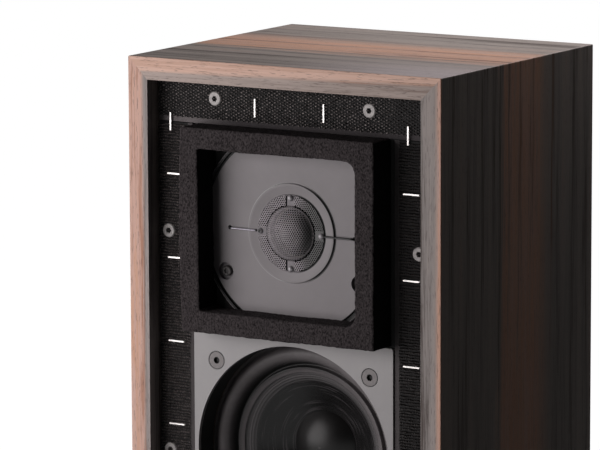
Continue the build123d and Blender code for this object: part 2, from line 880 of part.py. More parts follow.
def tweeter_pole():
    pole = rod(dome_radius - dome_wall - dome_play, tweeter_back, tweeter_yoke_front)
    yoke = rod(tweeter_yoke_radius, tweeter_yoke_front, tweeter_yoke_front + tweeter_yoke_thickness)
    return placed(yoke + pole, tweeter_z)


def board_corners():
    x = board_width / 2 - spacer_inset
    z = board_height / 2 - spacer_inset
    return mirrored_pairs(x, [board_z - z, board_z + z])


def board_screw_tip():
    return back_face + back_thickness / 2


def crossover_board():
    board = slab(Pos(0, board_z) * Rectangle(board_width, board_height), board_front, board_back)
    for x, z in board_corners():
        board -= rod(board_screw_radius + screw_clearance, board_front, board_back, x, z)
    return placed(board)


def crossover_spacers():
    spacer = ring(board_screw_radius + screw_clearance, spacer_radius, board_back, back_face)
    return placed(group([Pos(x, 0, z) * spacer for x, z in board_corners()]))


def crossover_screws():
    head = board_front - board_screw_head_height
    screw = rod(board_screw_head, head, board_front) + rod(board_screw_radius, board_front, board_screw_tip())
    return placed(group([Pos(x, 0, z) * screw for x, z in board_corners()]))


def crossover_inductors():
    coils = []
    for x, z, radius, height in [
        (-0.27 * board_width, -0.3 * board_height, bass_coil_radius, bass_coil_height),
        (0.28 * board_width, 0.16 * board_height, middle_coil_radius, middle_coil_height),
        (-0.32 * board_width, 0.2 * board_height, treble_coil_radius, treble_coil_height),
    ]:
        coils.append(Pos(x, 0, z) * ring(inductor_bore * radius, radius, board_front - height, board_front))
    return placed(group(coils), board_z)


def crossover_capacitors():
    x = board_width / 4
    row = board_front - capacitor_radius - component_gap
    cans = []
    for k in range(capacitors):
        z = -0.32 * board_height + k * capacitor_pitch
        can = Pos(x, row, z) * Rot(0, 90, 0) * Cylinder(capacitor_radius, capacitor_length)
        cans.append(chamfer(can.edges(), capacitor_bevel))
    return placed(group(cans), board_z)


def crossover_resistors():
    bars = []
    for k in range(resistors):
        z = 0.16 * board_height + k * resistor_pitch
        low = (-resistor_length / 2, board_front - resistor_side, z)
        bars.append(bar(low, (resistor_length / 2, board_front, z + resistor_side)))
    return placed(group(bars), board_z)


def lining(inset, thickness):
    near = batten_front + batten + lining_margin
    far = back_face - batten - lining_margin
    wall = half_inner - inset
    low = panel + inset
    high = inner_top - inset
    clear = thickness + lining_margin
    return placed(group([
        bar((-wall, near, low + clear), (thickness - wall, far, high - clear)),
        bar((wall - thickness, near, low + clear), (wall, far, high - clear)),
        bar((-wall, near, low), (wall, far, low + thickness)),
        bar((-wall, near, high - thickness), (wall, far, high)),
    ]))


def internal_wires():
    wires = []
    touch = hookup_radius + component_gap
    board_low = board_z - board_height / 2
    lead_tip = tweeter_back + lead_tail + component_gap
    tag_depth = basket_back + tag_board_thickness + tag_thickness + touch
    tag_height = woofer_z + tag_tip
    landing = board_front - component_gap
    for side in (-1, 1):
        x = side * terminal_spread
        rise = terminal_height + terminal_tag_reach
        middle = (terminal_tag_front + board_back) / 2 + hookup_radius
        wires.append(tube([
            (x, terminal_tag_front - touch, rise - hookup_lap), (x, middle, rise + hookup_bend),
            (x, board_back + touch, board_low + 2 * hookup_rise)
        ], hookup_radius, 2 * hookup_bend))
        x = side * tag_spread
        high = woofer_z + magnet_radius + 4 * hookup_radius
        wires.append(tube([
            (x, tag_depth, tag_height - hookup_lap / 2),
            (x, tag_depth + 2 * hookup_radius, high + hookup_rise),
            (x, (tag_depth + landing) / 2, high + 2 * hookup_rise),
            (x, landing, high + 1.5 * hookup_rise)
        ], hookup_radius, hookup_bend))
        x = side * lead_hole_x
        wires.append(tube([
            (x, lead_tip, tweeter_z), (x, tweeter_yoke_front + hookup_reach, tweeter_z),
            (x, landing - 2 * hookup_reach, tweeter_z + hookup_bend), (x, landing, tweeter_z + hookup_lap)
        ], hookup_radius, 4 * hookup_bend))
    return placed(group(wires))


post_end = cabinet_depth + post_outer_length
shoulder_front = cabinet_depth + collar_thickness
washer_front = shoulder_front + shoulder_thickness
cap_front = washer_front + washer_thickness
terminal_places = (-terminal_spread, terminal_spread)


def terminal_posts():
    start = back_face - post_inner_length
    post = rod(post_radius, start, post_end) + rod(shoulder_radius, shoulder_front, washer_front)
    post -= rod(socket_radius, post_end - socket_depth, post_end)
    wire_hole = Rot(0, 90, 0) * Cylinder(wire_hole_radius, 3 * post_radius)
    post -= Pos(0, washer_front + 1.5 * wire_hole_radius, 0) * wire_hole
    return placed(group([Pos(x, 0, terminal_height) * post for x in terminal_places]))


def terminal_collars():
    collar = rod(collar_radius, cabinet_depth, shoulder_front)
    collar = fillet(collar.faces().sort_by(Axis.Y)[-1].edges(), collar_round)
    collar -= rod(post_radius + post_hole_clearance, cabinet_depth, shoulder_front)
    return placed(group([Pos(x, 0, terminal_height) * collar for x in terminal_places]))


def terminal_nuts():
    near = terminal_tag_front - terminal_nut_thickness
    nut = slab(hexagon(terminal_nut_flats) - Circle(post_radius + nut_clearance), near, terminal_tag_front)
    return placed(group([Pos(x, 0, terminal_height) * nut for x in terminal_places]))


def terminal_tags():
    tongue = Pos(0, terminal_tag_reach / 2) * Rectangle(tag_width, terminal_tag_reach)
    outline = Circle(terminal_tag_radius) + tongue - Circle(post_radius + post_hole_clearance)
    tag = slab(outline, terminal_tag_front, back_face)
    return placed(group([Pos(x, 0, terminal_height) * tag for x in terminal_places]))


def clamp_washer(x):
    washer = ring(post_radius + cap_play, washer_radius, washer_front, cap_front)
    return placed(Pos(x, 0, terminal_height) * washer)


def terminal_cap(x):
    cap_back = cap_front + cap_length
    cap = rod(cap_radius, cap_front, cap_back)
    cap = fillet(cap.edges(), cap_round)
    flute = rod(cap_flute_radius, cap_front, cap_back, 0, cap_radius)
    for k in range(cap_flutes):
        cap -= Rot(0, 360 * k / cap_flutes, 0) * flute
    cap -= rod(post_radius + cap_play, cap_front, cap_back)
    return placed(Pos(x, 0, terminal_height) * cap)


def build():
    panels = cabinet_panels()
    strips = tapes()
    return {
        "top_panel": panels["top"],
        "base_panel": panels["base"],
        "left_panel": panels["left"],
        "right_panel": panels["right"],
        "back_panel": back_panel(),
        "front_battens": batten_frame(batten_front, batten_front + batten, baffle_screw_places),
        "rear_battens": batten_frame(back_face - batten, back_face, []),
        "baffle_seal": baffle_seal(),
        "front_baffle": front_baffle(),
        "tape_top": strips["top"],
        "tape_bottom": strips["bottom"],
        "tape_left": strips["left"],
        "tape_right": strips["right"],
        "tape_staples": placed(group([staple(*place) for place in staple_places()])),
        "baffle_screws": baffle_screws(),
        "tweeter_felt": tweeter_felt(),
        "woofer_plate": woofer_plate(),
        "woofer_bolts": woofer_bolts(),
        "woofer_nuts": woofer_nuts(),
        "woofer_gasket": woofer_gasket(),
        "woofer_chassis": woofer_chassis(),
        "woofer_surround": woofer_surround(),
        "woofer_cone": woofer_cone(),
        "woofer_dust_cap": woofer_dust_cap(),
        "woofer_former": woofer_former(),
        "woofer_coil": woofer_coil(),
        "woofer_spider": woofer_spider(),
        "woofer_pole_plate": woofer_pole_plate(),
        "woofer_magnet": woofer_magnet(),
        "woofer_pole": woofer_pole(),
        "woofer_tags": woofer_tags(),
        "woofer_leads": woofer_leads(),
        "tweeter_plate": tweeter_plate(),
        "tweeter_guard": tweeter_guard(),
        "tweeter_rivets": tweeter_rivets(),
        "tweeter_leads": tweeter_leads(),
        "tweeter_screws": tweeter_screw_set(),
        "tweeter_dome": tweeter_dome(),
        "tweeter_surround": tweeter_surround(),
        "tweeter_coil": tweeter_coil(),
        "tweeter_pole_plate": tweeter_pole_plate(),
        "tweeter_magnet": tweeter_magnet(),
        "tweeter_pole": tweeter_pole(),
        "crossover_board": crossover_board(),
        "crossover_spacers": crossover_spacers(),
        "crossover_screws": crossover_screws(),
        "crossover_inductors": crossover_inductors(),
        "crossover_capacitors": crossover_capacitors(),
        "crossover_resistors": crossover_resistors(),
        "damping_pads": lining(0, pad_thickness),
        "foam_lining": lining(pad_thickness, foam_thickness),
        "internal_wires": internal_wires(),
        "terminal_posts": terminal_posts(),
        "terminal_collars": terminal_collars(),
        "terminal_nuts": terminal_nuts(),
        "terminal_tags": terminal_tags(),
        "positive_washer": clamp_washer(terminal_spread),
        "negative_washer": clamp_washer(-terminal_spread),
        "positive_cap": terminal_cap(terminal_spread),
        "negative_cap": terminal_cap(-terminal_spread),
    }


os.makedirs("parts", exist_ok=True)
for name, shape in build().items():
    export_step(shape, f"parts/{name}.step")
print("nodes written")
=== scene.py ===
import math

import bmesh
import bpy
from mathutils import Matrix, Vector, noise


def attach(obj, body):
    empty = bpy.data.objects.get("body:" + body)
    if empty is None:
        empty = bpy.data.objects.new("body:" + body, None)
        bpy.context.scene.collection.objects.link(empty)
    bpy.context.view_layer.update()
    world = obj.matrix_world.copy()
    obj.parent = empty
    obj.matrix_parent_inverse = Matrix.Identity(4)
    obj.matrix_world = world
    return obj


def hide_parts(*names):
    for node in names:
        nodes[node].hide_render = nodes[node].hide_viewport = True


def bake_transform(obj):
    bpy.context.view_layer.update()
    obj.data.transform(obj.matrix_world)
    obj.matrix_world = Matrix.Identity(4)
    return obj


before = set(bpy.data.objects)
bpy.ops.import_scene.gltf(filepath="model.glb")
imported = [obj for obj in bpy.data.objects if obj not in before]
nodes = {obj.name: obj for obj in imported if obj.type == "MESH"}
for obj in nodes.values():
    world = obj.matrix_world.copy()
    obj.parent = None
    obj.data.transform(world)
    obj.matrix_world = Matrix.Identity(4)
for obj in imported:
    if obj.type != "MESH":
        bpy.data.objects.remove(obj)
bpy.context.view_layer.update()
mm = 0.001
cabinetHalf = 82.5  # depths run backwards from the cabinet's front edge
baffleFace = 12.0
wooferAxis = (0.0, 97.5)
tweeterAxis = (0.0, 216.5)
noise.seed_set(7)


def spot(x, depth, z):
    return Vector((x * mm, (depth - cabinetHalf) * mm, z * mm))


def clamp(value):
    return min(max(value, 0.0), 1.0)


def tone(red, green, blue):
    # display levels up to 255 as a linear colour
    levels = [level / 255 for level in (red, green, blue)]
    return (*[v / 12.92 if v < 0.04045 else ((v + 0.055) / 1.055) ** 2.4 for v in levels], 1.0)


def grey(level):
    return (level, level, level, 1.0)


class Wire:
    # a shader socket that takes part in plain sums
    def __init__(self, tree, socket=None):
        self.tree = tree
        self.socket = socket

    def feed(self, slot, value):
        if isinstance(value, Wire):
            self.tree.links.new(value.socket, slot)
        else:
            slot.default_value = value

    def node(self, kind, settings=None, sockets=None, out=0):
        made = self.tree.nodes.new("ShaderNode" + kind)
        for key, value in (settings or {}).items():
            if key == "stops":
                marks = made.color_ramp.elements
                marks[0].position, marks[0].color = value[0]
                marks[-1].position, marks[-1].color = value[-1]
                for place, colour in value[1:-1]:
                    marks.new(place).color = colour
            else:
                setattr(made, key, value)
        for key, value in (sockets or {}).items():
            self.feed(made.inputs[key], value)
        return Wire(self.tree, made.outputs[out])

    def sum(self, operation, first, second):
        return self.node("Math", {"operation": operation}, {0: first, 1: second})

    def __add__(self, other):
        return self.sum("ADD", self, other)

    def __radd__(self, other):
        return self.sum("ADD", other, self)

    def __sub__(self, other):
        return self.sum("SUBTRACT", self, other)

    def __rsub__(self, other):
        return self.sum("SUBTRACT", other, self)

    def __mul__(self, other):
        return self.sum("MULTIPLY", self, other)

    def __rmul__(self, other):
        return self.sum("MULTIPLY", other, self)

    def __pow__(self, other):
        return self.sum("POWER", self, other)


def newFinish(name):
    material = bpy.data.materials.new(name)
    material.use_nodes = True
    start = Wire(material.node_tree)
    place = start.node("TexCoord", out="Object")
    return material, start, place


def along(place, letter):
    # one coordinate of a place or a normal
    return place.node("SeparateXYZ", None, {"Vector": place}, out=letter)


def scaled(place, size):
    # a place in units of so many millimetres
    return place.node("Mapping", {"vector_type": "TEXTURE"}, {
        "Vector": place, "Scale": tuple(s * mm for s in size)})


def grainNoise(place, size, detail=4.0, rough=0.55, twist=0.0):
    return place.node("TexNoise", {"noise_dimensions": "3D"}, {
        "Vector": scaled(place, size), "Scale": 1.0, "Detail": detail, "Roughness": rough,
        "Distortion": twist})


def waves(value, pitch):
    # a sine that repeats every so many millimetres
    return value.node("Math", {"operation": "SINE"}, {0: value * (2 * math.pi / (pitch * mm))})


def radiusFrom(place, centre, apart=0.0):
    # distance from an axis along y, or from the nearest of four that stand square round it
    gaps = []
    for letter, middle in zip("XZ", centre):
        gap = along(place, letter) - middle * mm
        gaps.append(gap.node("Math", {"operation": "ABSOLUTE"}, {0: gap}) - apart * mm)
    across, up = gaps
    return (across * across + up * up) ** 0.5


def blendTones(factor, first, second):
    return factor.node("Mix", {"data_type": "RGBA"}, {0: factor, 6: first, 7: second}, out=2)


def ramp(factor, *stops):
    return factor.node("ValToRGB", {"stops": list(stops)}, {"Fac": factor})


def step(factor, low, high):
    # 0 below low and 1 above high, smooth between
    return factor.node("MapRange", {"interpolation_type": "SMOOTHSTEP"}, {
        "Value": factor, "From Min": low, "From Max": high})


def fade(place, none, full):
    # the same between two places in millimetres, in either order
    return step(place, none * mm, full * mm)


def dress(material, start, colour, rough, height=None, depth=0.1, metal=0.0, gloss=0.5):
    shader = material.node_tree.nodes["Principled BSDF"]
    values = {"Base Color": colour, "Roughness": rough, "Metallic": metal, "Specular IOR Level": gloss}
    if height is not None:
        values["Normal"] = start.node("Bump", None, {
            "Strength": 1.0, "Distance": depth * mm, "Height": height})
    for key, value in values.items():
        start.feed(shader.inputs[key], value)
    return material


# Finishes

veneer = {
    "ash": tone(151, 145, 142),
    "pale": tone(175, 166, 162),
    "dark": tone(95, 86, 83),
    "rust": tone(184, 140, 120),
    "warm": tone(216, 171, 146),
    "pink": tone(219, 184, 171),
    "light": tone(240, 208, 190),
    # the tone of the painted sheen
    "sheenTone": tone(218, 208, 212),
    "stripe": 6.5,
    "fine": 0.8,
    "length": 45.0,  # of a stripe, in its widths
    "pore": (0.42, 6.0),  # across and along the grain
    "figure": (58.0, 71.0, 99.0, 120.0),  # depths between which a warm band crosses the panels
    "drift": (34.0, 16.0),  # how far the stripes and the fine grain move that band
    "wander": (9.0, 5.0),  # and the front edge's warm strip
    "soft": 1.5,
    "edge": (0.9, 0.4),
    # where the painted sheen and the painted highlight along the right edge lie
    "sheenAcross": (-30.0, 95.0),
    "sheenDepth": (70.0, 10.0),
    "arrisHighlight": (93.9, 94.7),
    "arrisHighlightShare": 0.4,
    "poreShare": 0.5,
    "gloss": 0.03,
}


def veneerFinish(name, axis, shift, face, lipping, taper=0.0, lift=0.0, sheen=0.0):
    # grain runs along axis; face is the outer face's axis, side and place; lipping is the width of the front
    # edge's warm strip, which narrows to the right by taper; lift pales that edge; sheen is the strength of a
    # painted sheen on the face's front right, which comes with a painted highlight along its right edge
    material, start, place = newFinish(name)
    moved = start.node("Mapping", {"vector_type": "POINT"}, {"Vector": place, "Location": shift})
    stretch = [veneer["length"] if letter == axis else 1.0 for letter in "xyz"]
    wave = grainNoise(moved, [veneer["stripe"] * s for s in stretch], 2.0, 0.5, 0.3)
    fine = grainNoise(moved, [veneer["fine"] * s for s in stretch], 3.0, 0.6, 0.2)
    pores = grainNoise(moved, [veneer["pore"][letter == axis] for letter in "xyz"], 2.0, 0.6)

    def stray(reach):
        return (wave - 0.5) * (reach[0] * mm) + (fine - 0.5) * (reach[1] * mm)

    mixed = wave * 0.62 + fine * 0.38
    plain = ramp(mixed, (0.36, veneer["dark"]), (0.45, veneer["ash"]),
                 (0.56, veneer["pale"]), (0.68, veneer["ash"]))
    rich = ramp(mixed, (0.38, veneer["rust"]), (0.46, veneer["pink"]),
                (0.53, veneer["warm"]), (0.6, veneer["pink"]))
    aside = along(place, "X")
    depth = along(place, "Y") + cabinetHalf * mm
    inward = along(place, face[0].upper()) * face[1] + face[2] * mm
    strayed = depth + stray(veneer["drift"])
    opens, full, fades, ends = veneer["figure"]
    figure = fade(strayed, opens, full) - fade(strayed, fades, ends)
    figure = figure * (0.7 + 0.3 * step(mixed, 0.4, 0.56)) + (1 - figure) * step(mixed, 0.58, 0.66) * 0.3
    edge = fade(depth, *veneer["edge"])
    border = inward + aside * taper + stray(veneer["wander"]) * 0.4
    warmEdge = fade(border, lipping + veneer["soft"], lipping - veneer["soft"])
    share = edge * warmEdge + (1 - edge) * figure * (0.5 + 1.1 * fine)
    colour = blendTones(share, plain, rich)
    if lift:
        colour = blendTones(edge * lift * (0.4 + 0.6 * warmEdge), colour, veneer["light"])
    # painted sheen on the face's front right and a painted highlight along its right edge
    if sheen:
        sheenMask = fade(aside, *veneer["sheenAcross"]) * fade(depth, *veneer["sheenDepth"]) * sheen
        sheenMask = sheenMask + fade(aside, *veneer["arrisHighlight"]) * veneer["arrisHighlightShare"]
        colour = blendTones((1 - edge) * sheenMask, colour, veneer["sheenTone"])
    slits = 1 - step(pores, 0.32, 0.4)
    colour = blendTones(slits * veneer["poreShare"], colour, veneer["dark"])
    rough = 0.46 + 0.2 * fine + 0.1 * slits
    return dress(material, start, colour, rough, fine * 0.4 - slits, 0.05, gloss=veneer["gloss"])


def plainFinish(name, colour, other, size, rough, metal=0.0, bump=0.05, gloss=0.5, patch=0.5, paintedShading=None):
    # two close tones in soft patches with a fine tooth; the last argument gives painted shade and highlights
    # as
    # rings: an axis, how far four of them stand from it, and rings of inner and outer radius, tone, softness
    # and the places in x between which the ring comes in
    material, start, place = newFinish(name)
    cloud = grainNoise(place, [size] * 3, 4.0, 0.6)
    fine = grainNoise(place, [size * 0.16] * 3, 3.0, 0.6)
    mask = step(cloud, 0.5 - patch / 2, 0.5 + patch / 2)
    mixed = blendTones(mask, tone(*colour), tone(*other))
    if paintedShading:
        centre, apart, rings = paintedShading
        reach = radiusFrom(place, centre, apart)
        across = along(place, "X")
        for inner, outer, shade, soft, *sides in rings:
            ring = fade(reach, inner - soft, inner) * (1 - fade(reach, outer, outer + soft))
            for none, full in sides:
                ring = ring * fade(across, none, full)
            mixed = blendTones(ring, mixed, tone(shade, shade, shade))
    return dress(material, start, mixed, rough - 0.06 + 0.12 * fine, fine, bump, metal, gloss)


brush = {"width": 0.12, "length": 9.0, "cloud": 11.0}


def brushedFinish(name, colour, other, axis, rough, metal):
    # fine lines along one axis, with a faint cloud over them
    material, start, place = newFinish(name)
    lines = grainNoise(place, [brush["length" if letter == axis else "width"] for letter in "xyz"], 3.0, 0.6)
    cloud = grainNoise(place, [brush["cloud"]] * 3, 3.0, 0.5)
    mixed = blendTones(step(lines * 0.6 + cloud * 0.4, 0.35, 0.65), tone(*colour), tone(*other))
    return dress(material, start, mixed, rough - 0.08 + 0.16 * lines, lines, 0.01, metal)


felt = {
    "pit": tone(33, 30, 31),
    "body": tone(60, 56, 57),
    "tuft": tone(77, 72, 73),
    # the tone of the painted shade on the walls
    "wall": tone(7, 6, 7),
    "gap": 0.85,
    "fibre": (0.22, 0.22, 0.6),
    "cloud": 12.0,
    "nap": 0.36,
}


def feltFinish(name):
    # short tangled wool with small pits; painted shade darkens the side walls, but for the upper ones
    material, start, place = newFinish(name)
    tufts = grainNoise(place, [felt["gap"], felt["gap"], felt["gap"] * 1.5], 3.0, 0.6, 0.5)
    fibres = grainNoise(place, felt["fibre"], 2.0, 0.7, 1.5)
    cloud = grainNoise(place, [felt["cloud"]] * 3, 2.0, 0.5)
    mixed = tufts * 0.74 + fibres * 0.2 + cloud * 0.06
    colour = ramp(mixed, (0.4, felt["pit"]), (0.5, felt["body"]), (0.62, felt["tuft"]))
    # painted shade on the walls that face aside, down or back
    normal = start.node("NewGeometry", out="Normal")
    paintedWallShade = step(along(normal, "Y"), -0.75, -0.35) * (1 - step(along(normal, "Z"), 0.2, 0.6))
    colour = blendTones(paintedWallShade, colour, felt["wall"])
    return dress(material, start, colour, 0.97, mixed, felt["nap"], gloss=0.05)


tapeLook = {
    "ground": tone(11, 10, 10),
    "edge": tone(80, 75, 76),
    # the painted highlight and painted shade of the level tapes' selvage
    "paintedLitEdge": tone(116, 110, 111),
    "dim": tone(66, 61, 63),
    "weave": tone(24, 23, 23),
    "rib": 0.63,
    "thread": 0.7,
    "lint": 1.4,
    "selvage": (3.1, 2.7),  # from the inner edge
    "paintedLitPlace": (-66.0, -30.0),
}


def tapeFinish(name, axis, edge, side):
    # woven ground that pales at the selvage along one edge, ribs across the tape; on the level tapes the
    # selvage has a painted highlight at the left that dims to the right
    material, start, place = newFinish(name)
    onward = along(place, axis.upper())
    across = along(place, "Z" if axis == "x" else "X")
    weave = waves(onward, tapeLook["rib"]) * waves(across, tapeLook["thread"])
    lint = grainNoise(place, [tapeLook["lint"]] * 3, 4.0, 0.7)
    selvage = fade(across * side, *[side * edge - inset for inset in tapeLook["selvage"]])
    rim = tapeLook["edge"]
    # painted light: the level tapes' selvage is pale at the left and dim to the right
    if axis == "x":
        rim = blendTones(fade(onward, *tapeLook["paintedLitPlace"]), tapeLook["paintedLitEdge"], tapeLook["dim"])
    colour = blendTones(selvage * (0.55 + 0.6 * lint), tapeLook["ground"], rim)
    colour = blendTones(step(weave * 0.5 + lint * 0.5, 0.2, 0.6) * 0.35, colour, tapeLook["weave"])
    return dress(material, start, colour, 0.62 + 0.2 * lint, weave * 0.25 + 0.5, 0.25, gloss=0.3)


hookLook = {
    "deep": tone(46, 42, 42),
    # the tone, place and strength of the painted shade on the right
    "paintedHookShade": tone(24, 21, 21),
    "hookShadePlace": (55.0, 66.0),
    "hookShadeShare": 0.7,
    "lint": 2.3,
    "rows": 1.1,
}


def hookFinish(name, pale):
    # bent nylon hooks, darker to the right by painted shade
    material, start, place = newFinish(name)
    lint = grainNoise(place, [hookLook["lint"]] * 3, 4.0, 0.7)
    rows = grainNoise(place, [hookLook["rows"]] * 3, 2.0, 0.5)
    colour = blendTones(step(lint * 0.5 + rows * 0.5, 0.38, 0.62), hookLook["deep"], tone(*pale))
    # painted shade darkens the hooks towards the right
    paintedHookShade = fade(along(place, "X"), *hookLook["hookShadePlace"]) * hookLook["hookShadeShare"]
    colour = blendTones(paintedHookShade, colour, hookLook["paintedHookShade"])
    return dress(material, start, colour, 0.38 + 0.3 * lint, gloss=0.25)


film = {
    "low": tone(9, 8, 8),
    "high": tone(13, 11, 12),
    # the next two tones are a painted highlight in streaks and a painted sheen on the outer band
    "glintTone": tone(84, 80, 82),
    "band": tone(84, 81, 82),
    "sheenBandPlace": (35.0, 40.0),
    "ring": 0.8,
    "cloud": 18.0,
    "tooth": 0.35,
    "glintSize": 26.0,
    "glintPull": 30.0,
    "glintShare": 0.55,
}


def filmFinish(name):
    # drawn film: fine rings round the woofer's axis under a soft cloud, with painted highlights in short
    # broken streaks round the axis and a painted sheen on a paler outer band
    material, start, place = newFinish(name)
    reach = radiusFrom(place, wooferAxis)
    cloud = grainNoise(place, [film["cloud"]] * 3, 4.0, 0.55)
    fine = grainNoise(place, [film["tooth"]] * 3, 3.0, 0.6)
    colour = blendTones(step(cloud * 0.75 + fine * 0.25, 0.36, 0.64), film["low"], film["high"])
    # painted highlights in broken streaks round the axis
    pulled = start.node("CombineXYZ", None, {
        "X": reach * film["glintPull"], "Y": along(place, "X"), "Z": along(place, "Z")})
    paintedGlints = grainNoise(pulled, [film["glintSize"]] * 3, 2.0, 0.6)
    colour = blendTones(step(paintedGlints, 0.55, 0.67) * film["glintShare"], colour, film["glintTone"])
    # painted sheen on the outer band
    colour = blendTones(fade(reach, *film["sheenBandPlace"]), colour, film["band"])
    height = waves(reach, film["ring"]) * 0.5 + fine
    return dress(material, start, colour, 0.23 + 0.1 * fine, height, 0.014, gloss=0.22)


